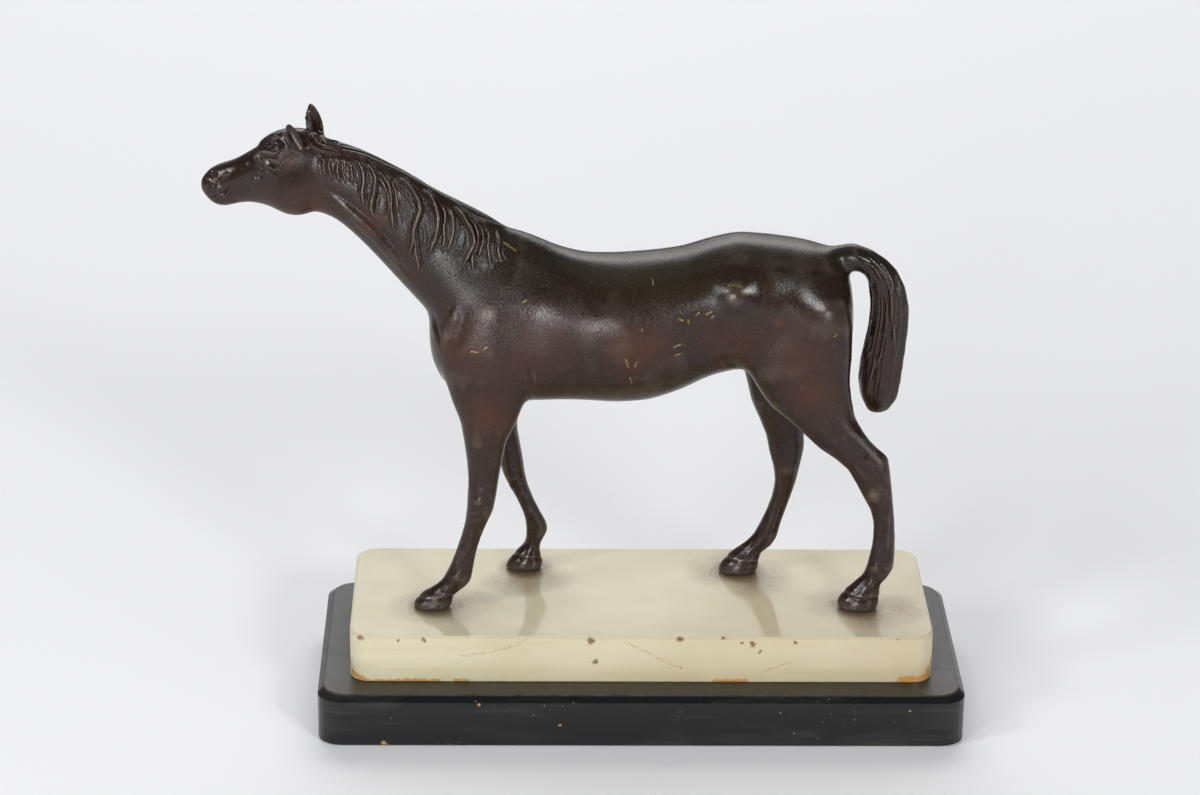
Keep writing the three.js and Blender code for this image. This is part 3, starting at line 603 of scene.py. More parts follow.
class Carving:
    def __init__(self, mesh):
        self.mesh = mesh
        self.tree = tree_of(mesh)
        self.points = points_of(mesh) / MM
        self.normals = normals_of(mesh)
        self.rise = np.zeros(len(self.points))

    def sight(self, knots, sheet):
        """The curve through the knots as it lies on the bronze, with its normals.

        A line of sight that misses the horse, or lands on another part of it far behind, is left out.
        """
        path = []
        for x, above in curve_through(knots):
            hit, normal = self.tree.ray_cast(EYE, sight_line(x, above, sheet))[:2]
            if hit is None or path and (hit / MM - Vector(path[-1][0])).length > LONGEST_JUMP:
                continue
            path.append((hit / MM, normal))
        return rows([p for p, _ in path]), rows([n for _, n in path])

    def across(self, path, through, normal):
        """The same curve on the other side of a mirror plane."""
        normal = np.array(normal)
        mirrored = path - 2 * ((path - np.array(through)) @ normal)[:, None] * normal
        found = [self.tree.find_nearest(Vector(p) * MM)[:2] for p in mirrored]
        return rows([spot / MM for spot, _ in found]), rows([facing for _, facing in found])

    def press(self, path, facing, widths, height, sharp=False, ends=0.35, flip=1):
        """Adds a stroke to the rise of the skin: widths to its left and right, tapered at both ends."""
        if len(path) == 0:
            return
        widths = widths if isinstance(widths, tuple) else (widths, widths)
        reach = max(widths)
        box = np.all((self.points > path.min(0) - reach) & (self.points < path.max(0) + reach), axis=1)
        near = np.flatnonzero(box)
        if len(near) == 0:
            return
        spots = self.points[near]
        at = ((path**2).sum(1) - 2 * spots @ path.T).argmin(1)
        distance = np.linalg.norm(spots - path[at], axis=1)
        share = at / max(1, len(path) - 1)
        taper = np.ones(len(near))
        left = np.full(len(near), widths[0] == widths[1])
        if len(path) > 1:
            taper = fade(share, -0.02, ends) * fade(1 - share, -0.02, ends)
            along = np.gradient(path, axis=0)
            side = np.einsum("kc,kc->k", np.cross(facing, along)[at], spots - path[at])
            left = side * flip > 0
        width = np.where(left, *widths) * (END_WIDTH + (1 - END_WIDTH) * taper)
        u = np.clip(distance / width, 0, 1)
        form = (1 - u) ** 2 if sharp else (1 - u * u) ** 2
        same_side = np.einsum("kc,kc->k", self.normals[near], facing[at]) > 0.1
        self.rise[near] += height * form * taper * same_side

    def stroke(self, sheet, knots, widths, height, mirror=None, **how):
        """Presses along lines of sight, and on the other side of a mirror plane where one is given."""
        path, facing = self.sight(knots, sheet)
        self.press(path, facing, widths, height, **how)
        if mirror:
            self.press(*self.across(path, *mirror), widths, height, flip=-1)

    def finish(self, rounds=0):
        """Moves the skin by all the strokes, and evens it out over a few rounds."""
        print("cut", round(-self.rise.min(), 2), "mm deep and raised", round(self.rise.max(), 2), "mm high")
        put_points(self.mesh, (self.points + self.normals * self.rise[:, None]) * MM)
        if rounds:
            put_points(self.mesh, blurred(points_of(self.mesh), edges_of(self.mesh), rounds, 0.3))


def line_between(first, second, share):
    """A line of nine knots that lies between two curves, at a share of the way."""
    ends = []
    for knots in (first, second):
        line = curve_through(knots, 0.5)
        steps = np.linspace(0, 1, len(line))
        ends.append(np.stack([np.interp(np.linspace(0, 1, 9), steps, line[:, k]) for k in (0, 1)], axis=1))
    return ends[0] + share * (ends[1] - ends[0])


# %% [markdown]
# ## Muscles and joints
# Broad, soft strokes first: the points of hip and shoulder, the hollow of the flank, the long muscle of the
# neck, then knees, hocks and the tendons behind the cannons.

# %% Body
BODY_MIRROR = ((0, MIDDLE, 0), (0, 1, 0))
both_sides = [
    # sheet, knots, width (or widths to the left and right of the stroke), height
    (-18, [(-14, 97.5)], 20, 1.1),
    (-14, [(26.8, 107.3)], 7.5, 1.1),
    (-16, [(52, 101.6)], 13, 1.2),
    (-14, [(19, 99), (24, 93), (28, 86)], 4.5, -0.6),
    (-14, [(23, 87.5), (26, 84.5), (29, 81)], 2.2, -0.55),
    (-12, [(-56.7, 103.1), (-58.9, 95.7), (-60.8, 88)], (3.6, 2), 1.1),
    (-12, [(-64.3, 100.8), (-63.5, 95.7), (-62.5, 90.5), (-61.7, 87.1)], (1.5, 1.2), -0.6),
    (-12, [(-65, 99.3), (-64.4, 94.9), (-63.4, 89.7)], 0.9, 0.25),
    (-12, [(-35.6, 83), (-35, 79), (-34.4, 74)], 1.3, -0.45),
    (-4, [(-98.4, 135.2), (-94.7, 133.2), (-89.9, 129.7), (-84, 124.1), (-78.8, 118.1), (-74.3, 111.7),
      (-69.9, 104.8)], 3.2, 0.75),
    (-4, [(-98.7, 137.9), (-94.7, 135.9), (-89.9, 132.4), (-85.1, 128), (-80.2, 123.2), (-75.8, 117.3),
      (-71.3, 110.5), (-68, 104.8)], (1.6, 2.4), -0.6),
]
muscles = Carving(skin)
for stroke in both_sides:
    muscles.stroke(*stroke, mirror=BODY_MIRROR)

legs = [
    # Near hind leg: Achilles tendon, hollow before it, hock, cannon and tendons, fetlock.
    (-10, [(63.8, 61), (66.5, 58.6), (69.4, 55.8), (72.1, 52.6), (74.4, 50)], 1.3, 0.35),
    (-10, [(60.5, 58.5), (64, 55.6), (67.3, 52.8), (70.3, 50.2)], 2.2, -0.45),
    (-10, [(52, 63), (57, 58), (61.5, 53.5)], 2.6, 0.3),
    (-10, [(64.3, 51.2), (66.4, 47.8), (68.6, 44.9), (71.2, 42.7)], 1.6, 0.35),
    (-10, [(72.4, 46.5), (74, 42.5), (75, 39.5)], 1.7, -0.3),
    (-10, [(71.5, 39)], 2.2, 0.35),
    (-10, [(74.1, 36), (74.5, 30), (74.6, 23), (74.2, 17)], 0.9, -0.4),
    (-10, [(76.3, 36), (76.6, 29), (76.7, 22), (76.6, 16)], 0.9, 0.25),
    (-10, [(72.6, 13.6)], 2.6, 0.35),
    (-10, [(74.3, 17.2), (74.6, 14), (76, 12.4), (78, 13)], 0.7, -0.25),
    (-10, [(72.6, 9.6), (70.6, 6.9)], 1.2, 0.25),
    # Near foreleg: forearm, knee, tendons, fetlock, pastern.
    (-11, [(-51.5, 66), (-51, 58), (-50.6, 51)], 3, 0.35),
    (-11, [(-46.2, 64), (-45.9, 56), (-46, 48)], 1.6, -0.4),
    (-11, [(-53.4, 48), (-53.4, 40.5)], 1.2, 0.25),
    (-11, [(-50.8, 38.4), (-50.6, 34.4)], 2.4, 0.4),
    (-11, [(-53.4, 40.6), (-50.6, 41.7), (-47.6, 41.2)], 0.9, -0.22),
    (-11, [(-54, 32), (-51.4, 31.4), (-48.4, 32)], 0.9, -0.25),
    (-11, [(-48, 36.5)], 1.6, -0.25),
    (-11, [(-51.3, 29.5), (-52, 23), (-53.6, 17), (-54.7, 13.5)], 0.8, -0.4),
    (-11, [(-49.4, 28), (-50.5, 22), (-52.2, 16), (-53.3, 12)], 0.9, 0.3),
    (-11, [(-55.3, 22.5), (-56.8, 16.8), (-58.1, 12.8)], 1.1, 0.2),
    (-11, [(-57.6, 10.6)], 2.4, 0.35),
    (-11, [(-61, 6.6)], 1.6, 0.25),
    # Far legs.
    (-10, [(40.8, 38), (38.9, 32), (37.8, 27), (36.2, 22)], 0.9, -0.35),
    (-10, [(36.6, 47)], 2, 0.3),
    (-11, [(-40.4, 42), (-40, 36.5)], 2, 0.35),
]
for stroke in legs:
    muscles.stroke(*stroke)
muscles.finish(4)

# %% [markdown]
# ## Hooves
# A ring of hair, the coronet, overhangs each hoof, with faint growth lines in the horn below it. It doesn't
# lie level on any of them, so its line is given by a height at the toe and one at the heel.

# %% Hooves
hooves = [
    # Near fore, far fore, near hind, far hind: toe and height there, heel and height there, distance back.
    ((-68.6, 3.4), (-58.6, 4.8), MIDDLE - 13.2),
    ((-39.4, 5.2), (-30.8, 4.4), MIDDLE + 15),
    ((63.4, 5.4), (74.6, 4.6), MIDDLE - 13.1),
    ((28.2, 5.2), (38.4, 4.6), MIDDLE + 12.8),
]


def bell(value, middle, width):
    return np.exp(-(((value - middle) / width) ** 2))


coronets = Carving(skin)
x, y, above = places(points_of(skin))
for (toe, toe_top), (heel, heel_top), back in hooves:
    line = np.interp(x, (toe, heel), (toe_top, heel_top))
    here = (x > toe - 6) & (x < heel + 4) & (np.abs(y - back) < 8) & (above < 12)
    over = above - line
    ring = 0.13 * bell(over, 0.75, 0.7) - 0.17 * bell(over, -0.35, 0.4)
    growth_lines = 0.05 * np.sin(over * 2 * math.pi / 0.9) * fade(-over, 0.6, 1.2)
    coronets.rise += np.where(here, ring + growth_lines, 0) * fade(above, 0.1, 0.6)
coronets.finish(1)

# %% [markdown]
# ## Head
# The face is read from the photograph's near side and repeated on the far side, across the plane through the
# middle of the turned head.

# %% Face
TURN = math.radians(12)
HEAD_MIRROR = ((-113.1, 6.6, 0), (math.sin(TURN), math.cos(TURN), 0))
HEAD_SHEET = 5
face = [
    # Eye: socket, brow, the groove under it, the slit between the lids, the eyeball, the lower lid.
    ([(-116.8, 141), (-115.3, 139.6)], 1.6, -0.35),
    ([(-112.9, 142.4)], 2.4, 0.35),
    ([(-111, 146.6)], 2.2, 0.5),
    ([(-118.5, 142.8), (-117.4, 144), (-115.7, 144.5), (-114, 144.3), (-112.5, 144.2), (-110.7, 145),
      (-109, 146.7)], 0.75, 0.7),
    ([(-117.5, 143.1), (-115.9, 143.6), (-114.1, 143.2), (-112.1, 143.2), (-110, 144.2)], 0.6, -0.3),
    ([(-117.2, 143.4), (-115.7, 142.6), (-114.4, 141.9), (-112.7, 140.7), (-110.7, 139.8)], 0.6, -0.8),
    ([(-115.4, 142.3), (-114, 141.6), (-112.9, 140.9)], (0.45, 0.5), 0.6),
    ([(-116.3, 141.7), (-114.1, 140), (-112.1, 139.2), (-110.1, 139)], 0.6, 0.3),
    ([(-115.3, 139.6), (-113.3, 138.3), (-110.7, 137.9)], 0.9, -0.2),
    # Nostril: the hollow over it, its wing, the opening and the rim in front.
    ([(-131.9, 138.5), (-130.6, 138.1), (-129.3, 136.8)], 1.3, -0.7),
    ([(-133.5, 136.4), (-132.3, 136.5), (-131, 135.6), (-129.5, 134.9), (-128.7, 135.4)], (0.6, 0.8), 0.5),
    ([(-132.4, 133.9), (-132, 133.2)], 0.8, -0.6),
    ([(-131.1, 134.4), (-130.8, 133.1), (-131.4, 131.9)], 0.5, 0.22),
    ([(-128.7, 135.9), (-127.2, 137.2), (-125.8, 138.4)], 0.9, 0.35),
    # Mouth, lips and chin.
    ([(-133, 131), (-131, 130.5), (-129.2, 131.2), (-127.6, 131.6), (-126.4, 133), (-126, 134.4)],
     0.5, -0.45),
    ([(-129.6, 133)], 1.8, 0.3),
    ([(-129.2, 129.8), (-127.6, 130.6), (-126.2, 131.9), (-125.2, 134)], 0.7, 0.35),
    ([(-129, 128.4)], 1.8, 0.25),
    ([(-126, 129), (-123.5, 130.6)], 1.8, -0.2),
    # Facial crest, the hollow before it, jaw and temple.
    ([(-118.9, 137.5), (-117.4, 137.1), (-115.7, 137)], 1.5, -0.35),
    ([(-119.4, 135.1), (-117.6, 136), (-115.3, 136.4)], (0.8, 1.8), 0.3),
    ([(-119.3, 134.9), (-118.6, 133.3), (-117.7, 131.8)], (1.4, 0.6), 0.22),
    ([(-102.4, 140), (-101.2, 134.5), (-101.6, 129.5), (-102.6, 126.5)], 2.6, -0.25),
    ([(-123, 139.3), (-119.5, 141.8)], 1.8, 0.2),
]
head_carving = Carving(skin)
for stroke in face:
    head_carving.stroke(HEAD_SHEET, *stroke, mirror=HEAD_MIRROR)
head_carving.finish(1)

# %% [markdown]
# ## Mane
# The mane falls to the near side in curved locks from a band of hair along the crest. Each lock is a stroke
# that rises gently from its front and ends in a sharp step behind.

# %% Mane
rng = np.random.default_rng(7)
locks = [
    # Knots down from the crest, widths behind and in front of the lock's edge, height.
    ([(-96.5, 145.9), (-96.8, 144.3), (-96.6, 142.3), (-95.9, 140)], (0.5, 1.0), 0.25),
    ([(-95.2, 145.9), (-95.2, 143.9), (-94.8, 141.6), (-93.9, 138.8)], (0.5, 1.0), 0.15),
    ([(-92.8, 145.9), (-92.6, 143.9), (-92.7, 141.6), (-91.8, 138.4)], (0.5, 1.3), 0.3),
    ([(-91.4, 145.9), (-91.3, 143.9), (-90.9, 141.2), (-90.1, 138)], (0.5, 0.9), 0.15),
    ([(-89.6, 145.5), (-88.8, 143.6), (-88.4, 141.2), (-88.3, 138)], (0.5, 1.3), 0.35),
    ([(-87.4, 146.1), (-86.1, 144.4), (-85.2, 142), (-84.9, 138.8), (-85.4, 135.7), (-85.2, 132.9),
      (-84.7, 129.7)], (0.6, 1.8), 0.85),
    ([(-83.9, 145.2), (-82.6, 143), (-81.6, 140.4), (-81.6, 138.1), (-82, 135.3), (-82.7, 132.1),
      (-82.6, 129.3), (-80.9, 126.5)], (0.6, 1.9), 0.95),
    ([(-81.1, 141.6), (-79.7, 139.3), (-78.5, 136.9), (-77.7, 134.1), (-77.5, 130.5), (-77.6, 126.5)
      ], (0.5, 1.2), 0.5),
    ([(-80.6, 143), (-79.1, 140.6), (-77.9, 138.5), (-77.1, 136.1), (-76.7, 133.3), (-76.7, 130.5),
      (-76.4, 126.5), (-75.7, 121.7)], (0.6, 1.4), 0.8),
    ([(-76.6, 139.7), (-75.9, 136.7), (-75.3, 134.3), (-75, 131.7), (-75.1, 128.9)], (0.5, 1.1), 0.55),
    ([(-75.2, 141.3), (-73.1, 139.5), (-71.3, 137.5), (-69.8, 135.1), (-68.6, 132.6), (-68.2, 130),
      (-68.9, 127.2), (-69.8, 124.8), (-70.2, 122.4), (-70.4, 119.3), (-71.2, 116.3), (-71.9, 113.7)
      ], (0.7, 2.8), 1.15),
    ([(-69.7, 122.6), (-69.6, 118.5), (-69.6, 116.1), (-69.1, 114.1), (-68.7, 112.1), (-68.9, 109.3)
      ], (0.5, 0.9), 0.6),
    ([(-68.1, 136.7), (-66.2, 135.8), (-64.6, 133.8), (-63.6, 131.4), (-62.8, 128.6), (-62.7, 126.2),
      (-63.1, 123.2), (-63.9, 120.2), (-64.9, 117.4), (-65.6, 114.1)], (0.7, 2.6), 1.15),
    ([(-62.5, 132.6), (-61, 130), (-60.5, 127.4), (-61.1, 124.2), (-60.9, 120.2), (-62, 115.8)
      ], (0.5, 1.4), 0.5),
    ([(-59.5, 131.8), (-58.4, 128.2), (-58.1, 124.2), (-58.8, 120.2), (-60.4, 115.4)], (0.5, 1.4), 0.4),
    ([(-58.4, 132.6), (-57.1, 130.6), (-55.7, 128.8), (-54.3, 126.4), (-52.9, 123.8), (-52, 120.8),
      (-52.4, 118), (-53.9, 114.8), (-56.2, 110.1)], (0.7, 2.6), 1.1),
    ([(-53.2, 127.5), (-51.5, 124.7), (-50.8, 121.9), (-51, 118.6), (-52.4, 115.2), (-52.4, 112.2),
      (-51.9, 108.1)], (0.6, 0.9), 0.75),
    ([(-50.5, 125.5), (-49.4, 122.7), (-49.2, 120.3), (-50, 117), (-50.6, 113.8)], (0.5, 1.1), 0.45),
    ([(-48.3, 125.1), (-47.6, 121.9), (-47.8, 118.2), (-47.3, 114.2), (-46.8, 110.6)], (0.5, 1.3), 0.6),
    ([(-45.7, 124.7), (-44.3, 120.7), (-44.6, 116.7), (-43.4, 112.8)], (0.5, 1.1), 0.4),
]
MANE_SHEET = -4
big = Carving(skin)
for knots, widths, height in locks:
    big.stroke(MANE_SHEET, knots, widths, 0.7 * height, sharp=True, ends=0.2)
crest = [(-99.3, 149.4), (-91.8, 148.7), (-85.2, 147.2), (-78.5, 144.1), (-73.3, 141.5), (-65.9, 137),
         (-58.4, 132.7), (-52.8, 128.4), (-47.2, 126), (-41.9, 124.3)]
big.stroke(MANE_SHEET, crest, (0.5, 1.6), 0.35, sharp=True, ends=0.1)
big.finish(1)

# %% [markdown]
# ## Strands of the mane
# Every lock gets a rounded edge with a parting on both sides of it. Finer strands lie between the locks, and
# a few short curls and long lines run along the crest, where the mane begins.

# %% Strands of the mane
PARTING = 0.95
STRAND_EVERY = 0.95
strands = Carving(skin)
for knots, _, height in locks:
    strands.stroke(MANE_SHEET, knots, 0.6, 0.2 + 0.5 * height, ends=0.25)
    for side, share in ((-PARTING, 0.7), (PARTING, 1)):
        beside = [(x + side, z) for x, z in knots]
        strands.stroke(MANE_SHEET, beside, 0.5, -share * (0.1 + 0.35 * height), ends=0.25)
for (first, _, _), (second, _, _) in zip(locks, locks[1:]):
    gap = np.linalg.norm(np.array(first[len(first) // 2]) - np.array(second[len(second) // 2]))
    count = max(1, round(gap / STRAND_EVERY))
    for k in range(count):
        share = (k + 0.5 + rng.uniform(-0.2, 0.2)) / count
        knots = line_between(first, second, share)
        knots[:, 0] += np.linspace(0, 1, len(knots)) * rng.uniform(-0.3, 0.3)
        knots = knots[rng.integers(0, 2):len(knots) - rng.integers(0, 2)]
        height = rng.uniform(0.06, 0.2) * (1 if k % 2 else -1)
        strands.stroke(MANE_SHEET, knots, 0.45, height)
curls = [
    [(-96.7, 145.6), (-96.1, 144.7)],
    [(-95.4, 145.9), (-95.2, 144.7)],
    [(-93.8, 145.8), (-92.9, 145.9), (-92.6, 145), (-92.4, 144.1)],
    [(-91.6, 145.9), (-91.4, 144.7)],
    [(-89.6, 145.3), (-89.1, 144)],
    [(-88.7, 144.4), (-88.5, 143)],
]
for knots in curls:
    strands.stroke(MANE_SHEET, knots, 0.55, 0.5)
for k in range(5):
    over = [(x, z + 1 + 0.75 * k - (0.1 * k if x > -70 else 0)) for x, z in crest]
    strands.stroke(MANE_SHEET, over, 0.4, -0.2 if k % 2 else 0.15, ends=0.08)

# %% [markdown]
# ## Forelock and ears
# Short locks lie over the forehead and behind the ears, each with a groove below it. The near ear gets its
# two rims and the fold between them.

# %% Forelock and ears
poll_hair = [
    [(-109.5, 151.4), (-111.1, 150.2), (-113.2, 148.9), (-115.9, 148.1)],
    [(-109.7, 150.4), (-111.6, 149.2), (-113.9, 147.9), (-116.5, 147.1)],
    [(-110.4, 148.9), (-112.5, 147.7), (-114.6, 146.8)],
    [(-105.1, 151.9), (-103.6, 150.4), (-101.9, 148.7), (-99.6, 146.2), (-96.3, 145), (-90.8, 144.1)],
    [(-103.9, 152.2), (-102.2, 151.3), (-100.3, 149.7), (-98.6, 147.6), (-95.6, 146.5), (-90.8, 146.1)],
    [(-99.9, 150.4), (-97.9, 149), (-96, 148), (-90.8, 147.2)],
    [(-97.3, 149.7), (-95.3, 148.5), (-90.8, 147.9)],
]
for knots in poll_hair:
    strands.stroke(HEAD_SHEET, knots, 0.6, 0.45)
    strands.stroke(HEAD_SHEET, [(x, z - 0.85) for x, z in knots], 0.5, -0.35)
near_ear_lines = [
    ([(-109.2, 150.5), (-108.7, 149.7), (-107.7, 147.7), (-106.3, 145.2)], 0.3),
    ([(-106.8, 150.9), (-105.8, 148.6), (-104.1, 145.7), (-102.7, 143.4)], 0.35),
    ([(-107.8, 151.3), (-106.8, 148.9), (-105.4, 146.1)], -0.45),
]
for knots, height in near_ear_lines:
    strands.stroke(HEAD_SHEET, knots, 0.6, height)
strands.stroke(HEAD_SHEET, [(-101.4, 149.9), (-100.3, 148.2)], 0.8, -0.5)
strands.finish(0)

# %% [markdown]
# ## Tail
# The tail leaves the croup in an arch and falls in a thick switch. Its strands follow its two edges, with a
# few deeper partings and raised strands where the photograph shows them.

# %% Tail
front_edge = [(62.5, 113), (66, 110.2), (67.6, 105), (68, 100), (67.8, 96), (67, 91), (65.8, 84), (64.6, 77),
              (64.3, 71), (65.5, 67), (68, 63)]
back_edge = [(64, 118.4), (70, 115.5), (74, 112), (76.5, 108), (78.6, 103), (79.6, 97), (79.3, 90),
             (78.4, 82), (77.4, 75), (76.4, 69), (73.5, 64)]
partings = [
    ([(66.6, 112.4), (69.4, 110.6), (71.2, 108), (72.8, 105)], (0.7, 0.9), 0.55),
    ([(69.6, 113.2), (72.5, 110.7), (74.2, 108.4), (75, 106), (75.4, 102), (75.8, 97), (76.2, 92), (76.8, 87),
      (76.9, 83), (76.4, 79), (75.8, 75)], (0.8, 1), 0.6),
    ([(75, 110.2), (77, 106), (78.2, 102), (78.7, 98.5)], 0.5, -0.45),
    ([(68.4, 106.6), (70, 103), (70.9, 99), (71, 95), (70.4, 90), (69.5, 86), (68, 80), (66.8, 75),
      (66.6, 69)], 0.7, -0.5),
    ([(71.4, 104), (72.8, 100), (73.4, 96), (73.2, 91), (72.8, 86)], 0.5, -0.35),
    ([(74.4, 83.4), (73.5, 82), (72, 79.5), (71, 77), (70.3, 74.5), (69.7, 71), (69.3, 66)], (0.6, 1.1), 0.6),
    ([(70.2, 84), (69, 81.5), (67.8, 79.2), (67, 76.4)], (0.5, 0.9), 0.5),
    ([(76.6, 76), (76.4, 71), (75.4, 67)], (0.6, 1), 0.4),
    ([(73.6, 78), (72.6, 72), (71.6, 66)], 0.5, -0.35),
    ([(74.6, 96), (74.4, 90), (73.6, 85.5)], 0.6, 0.3),
]
TAIL_SHEET = 0
TAIL_STRANDS = 17
switch = Carving(skin)
for k in range(TAIL_STRANDS):
    knots = line_between(front_edge, back_edge, (k + 0.5 + rng.uniform(-0.25, 0.25)) / TAIL_STRANDS)
    start, stop = rng.integers(0, 3), rng.integers(6, 10)
    height = rng.uniform(0.15, 0.32) * (1 if k % 2 else -1)
    switch.stroke(TAIL_SHEET, knots[start:stop], 0.55, height, mirror=BODY_MIRROR)
for stroke in partings:
    switch.stroke(TAIL_SHEET, *stroke, mirror=BODY_MIRROR)
switch.finish(0)

# %% [markdown]
# ## Thinning
# The skin is far finer than the plain barrel needs. Collapsing edges where the form is flat keeps the casting
# under two hundred thousand triangles and leaves the carving as it is.

# %% Thinning
MOST_TRIANGLES = 196000
skin.calc_loop_triangles()
before = len(skin.loop_triangles)
skin = modified(skin, "DECIMATE", ratio=MOST_TRIANGLES / before)
skin.calc_loop_triangles()
print("from", before, "to", len(skin.loop_triangles), "triangles")

# %% [markdown]
# ## Casting in place
# The finished skin stands where the faceted horse stood, hangs from the root body, and takes its place: the
# faceted horse is hidden.

# %% Casting in place
skin.name = "horse_casting"
casting = bpy.data.objects.new("horse_casting", skin)
bpy.context.scene.collection.objects.link(casting)
skin.shade_smooth()
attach(casting, "root")
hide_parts("horse")

# %% [markdown]
# ## Bronze
# The bronze is patinated dark brown, redder low on the body and in the hollows of the hair, and olive on the
# back. Hollows stay dull and dark. What a hand or a cloth touches is rubbed smooth, with a little bare metal,
# and the ridges are painted paler, partly as rubbed wear and partly as a painted highlight, so each point is
# told how far it lies below the skin around it.

# %% Hollows, and ridges for wear and painted highlight
points = points_of(skin)
normals = normals_of(skin)
edges = edges_of(skin)
around = blurred(points, edges, rounds=10)
below = np.sum((around - points) * normals, axis=1) / MM
level = skin.attributes.new("hollow", "FLOAT", "POINT")
level.data.foreach_set("value", below.astype(np.float32))
print("hollow from", [round(float(v), 3) for v in np.percentile(below, (1, 50, 99))], "mm")

# %% [markdown]
# ## Patina
# Colour lies in layers: fine mottling, warm patches, red where the bronze shows through, olive on the back,
# dark hollows, pale ridges that are partly rubbed wear and partly a painted highlight, light specks. The
# places come from the photograph, along lines of sight again.

# %% Patina
casting_tree = tree_of(skin)


def on_casting(x, above, sheet=-12):
    """The place on the bronze, in millimetres, behind a point of an upright sheet."""
    return casting_tree.ray_cast(EYE, sight_line(x, above, sheet))[0] / MM


bronze = Finish("bronze")
place = bronze.place()
axes = bronze.add("SeparateXYZ", _0=place)
hollow = bronze.add("Attribute", {"attribute_name": "hollow"}).outputs["Fac"]
deep = bronze.ramp(hollow, 0.01, 0.12)
ridge_wear_and_highlight = bronze.ramp(hollow, -0.07, -0.2)
soft_edge = bronze.shaken(60, 10)

mottle = bronze.ramp(bronze.noise(420, 6, 0.75), 0.36, 0.64)
brown = bronze.mix(mottle, (0.0085, 0.0036, 0.0021, 1), (0.0225, 0.0102, 0.0062, 1))
patches = bronze.ramp(bronze.noise(38, 5, 0.6), 0.4, 0.66)
brown = bronze.layer(brown, patches, (0.033, 0.0095, 0.0044), 0.5)

red_places = [(-56, 84, 16), (-33, 91, 15), (-2, 86, 13), (25, 90, 11), (44, 88, 17), (50, 74, 12),
              (-102, 132, 12), (-112, 135, 8), (-83, 130, 8), (-71, 113, 9), (-48, 66, 12), (-106, 149, 4)]
red = bronze.most([bronze.spot(soft_edge, on_casting(x, z), r, 1) for x, z, r in red_places])
red = bronze.math("MULTIPLY", red, bronze.ramp(patches, 0, 1, 0.45, 1))
brown = bronze.layer(brown, red, (0.062, 0.0145, 0.0055), 0.9)

back = bronze.ramp(axes.outputs[2], 130 * MM, 143 * MM)
back = bronze.math("MULTIPLY", back, bronze.ramp(axes.outputs[0], -80 * MM, -40 * MM, 0.25, 1))
brown = bronze.layer(brown, back, (0.0115, 0.0085, 0.0035), 0.75)
olive = bronze.math("MULTIPLY", back, bronze.spot(soft_edge, on_casting(2, 105), 26, 1))
brown = bronze.layer(brown, olive, (0.02, 0.0155, 0.0045), 0.8)
brown = bronze.layer(brown, deep, (0.0085, 0.003, 0.0018), 0.7)

specks = bronze.ramp(bronze.noise(900, 2, 0.5), 0.66, 0.74)
brown = bronze.layer(brown, specks, (0.12, 0.085, 0.045), 0.3)
tan_patch = bronze.spot(bronze.shaken(300, 3), on_casting(71.6, 38.6, -10), 3.2, 1)
brown = bronze.layer(brown, tan_patch, (0.16, 0.11, 0.06), 0.5)
rust = bronze.spot(bronze.shaken(500, 2.6), on_casting(40, 97), 1.9, 0.8)
brown = bronze.layer(brown, rust, (0.11, 0.024, 0.006), 0.6)
# Pale ridges: partly rubbed wear, partly a painted highlight along the rims of the locks.
brown = bronze.layer(brown, ridge_wear_and_highlight, (0.24, 0.19, 0.16), 0.45)

# %% [markdown]
# ## Scratches and painted glints
# Short scratches show yellow metal. The rims of the near ear, the eyelid, the brow and the nostril get pale,
# metallic streaks: painted glints, highlights painted where light would catch them.

# %% Scratches and painted glints
scratches = [((-43, 122.5), (-39.4, 120), 0.55), ((1.8, 110.8), (2, 109.2), 0.4),
             ((10, 97.9), (11.2, 97.6), 0.45), ((15.2, 99.4), (16, 100.1), 0.4),
             ((18.2, 99.6), (19.8, 100.6), 0.4), ((19.7, 98.3), (20.5, 99.3), 0.35),
             ((12.6, 97.6), (13, 96.5), 0.35), ((8.5, 88.8), (10.6, 89.8), 0.4),
             ((9.2, 86.2), (10.7, 86.7), 0.4), ((-5.8, 84.6), (-5.1, 82.3), 0.45),
             ((-2.6, 83.8), (-3.1, 82.2), 0.4), ((-4.7, 78.9), (-4, 77), 0.3),
             ((24.7, 109.3), (28.5, 108.7), 0.6), ((-52.8, 87.1), (-50.7, 86.9), 0.35),
             ((-49, 87.7), (-48, 88.5), 0.35), ((-37.1, 103.2), (-36.2, 104), 0.4),
             ((57, 92.3), (58.1, 93.1), 0.3), ((-1.1, 94.6), (-1.1, 94), 0.45)]
nicked = bronze.shaken(1300, 1)
bare = bronze.most([bronze.streak(nicked, on_casting(*a), on_casting(*b), 0.75 * r, 0.7)
                    for a, b, r in scratches])
bare = bronze.math("MULTIPLY", bare, 0.8)
brown = bronze.layer(brown, bare, (0.42, 0.29, 0.1))
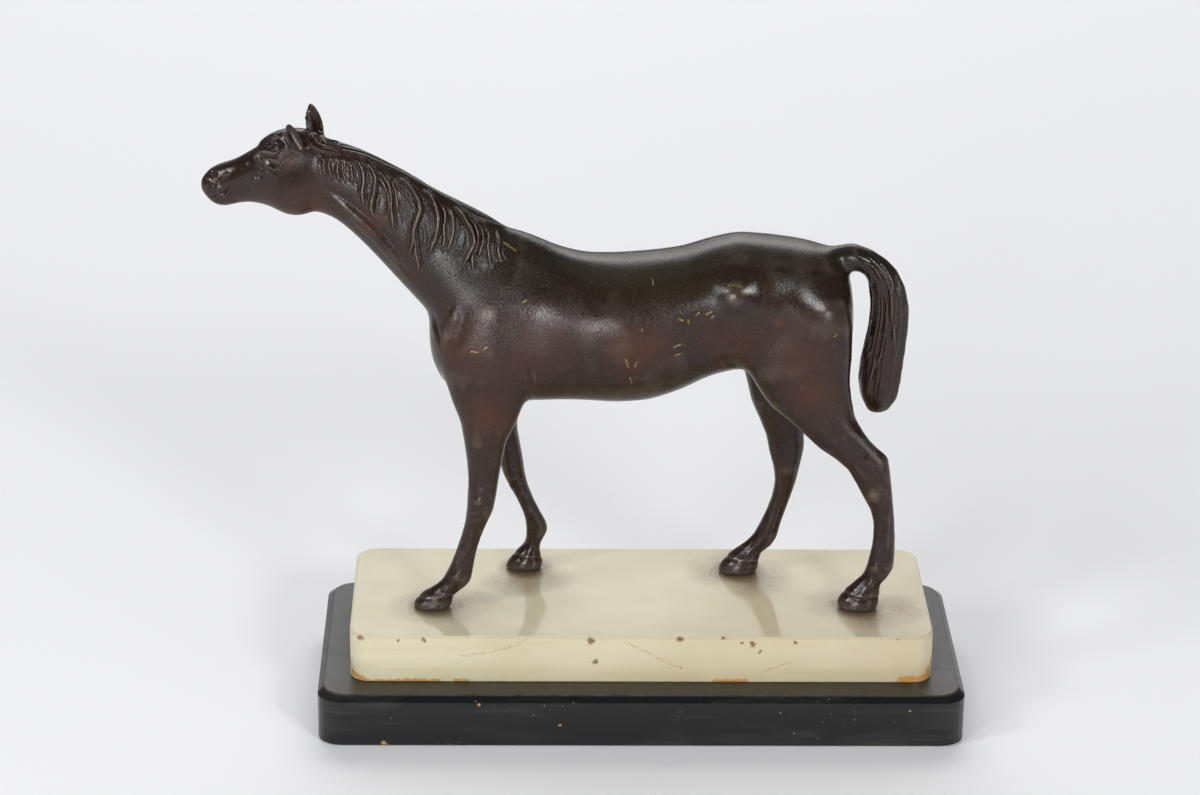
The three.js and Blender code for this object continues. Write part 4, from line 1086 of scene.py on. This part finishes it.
rims = [((-109.2, 150.4), (-108.6, 149.5), 0.7), ((-106.7, 150.5), (-105.8, 148.6), 0.7),
        ((-105.8, 148.6), (-104.2, 145.9), 0.7), ((-115.2, 142.2), (-113.9, 141.4), 0.55),
        ((-117.8, 143.2), (-116.9, 144), 0.45), ((-131.4, 135.9), (-130.2, 135.4), 0.6)]
painted_glints = bronze.most([bronze.streak(nicked, on_casting(*a, 5), on_casting(*b, 5), r, 0.9)
                         for a, b, r in rims])
# Painted glints: pale streaks on the ear rims, eyelid, brow and nostril stand in for highlights.
brown = bronze.layer(brown, painted_glints, (0.5, 0.38, 0.3), 0.6)

# %% [markdown]
# ## Gloss and grain
# The bronze is satin, duller in the hollows and smoother on the ridges, with a fine sandy grain from the
# mould. The temple behind the eye is duller than the rest. Less light comes off the skin where it turns away
# from the eye: its specular is turned down towards the outline, a painted shade that darkens the edges.

# %% Gloss and grain
grain = bronze.noise(1400, 3, 0.65)
satin = bronze.ramp(bronze.noise(110, 4, 0.6), 0.3, 0.7, 0.18, 0.27)
satin = bronze.math("ADD", satin, bronze.ramp(grain, 0.35, 0.65, -0.06, 0.08))
satin = bronze.math("ADD", satin, bronze.math("MULTIPLY", deep, 0.15))
satin = bronze.math("SUBTRACT", satin, bronze.math("MULTIPLY", ridge_wear_and_highlight, 0.08))
temple = bronze.spot(soft_edge, on_casting(-105, 140, 5), 9, 0.8)
satin = bronze.math("ADD", satin, bronze.math("MULTIPLY", temple, 0.06))
coarse = bronze.ramp(bronze.noise(28, 3), 0.42, 0.6, 0.35, 0.95)
uneven = bronze.bump(bronze.noise(130, 3, 0.5), 0.35, 0.2 * MM)
bronze.feed(Base_Color=brown, Roughness=satin, Normal=bronze.bump(grain, coarse, 0.12 * MM, uneven))

# Painted shade along the outline: the specular falls where the skin turns away from the eye.
facing_for_painted_edge_shade = bronze.add("LayerWeight", _0=0.5).outputs["Facing"]
shine = bronze.ramp(facing_for_painted_edge_shade, 0.45, 0.95, 0.43, 0.13)
shine = bronze.math("MULTIPLY", shine, bronze.ramp(temple, 0, 1, 1, 0.3))
metal = bronze.math("ADD", bronze.math("MULTIPLY", ridge_wear_and_highlight, 0.6), bronze.math("MAXIMUM", bare, painted_glints))
bronze.feed(Specular_IOR_Level=shine, Metallic=metal)
dress(casting, bronze)
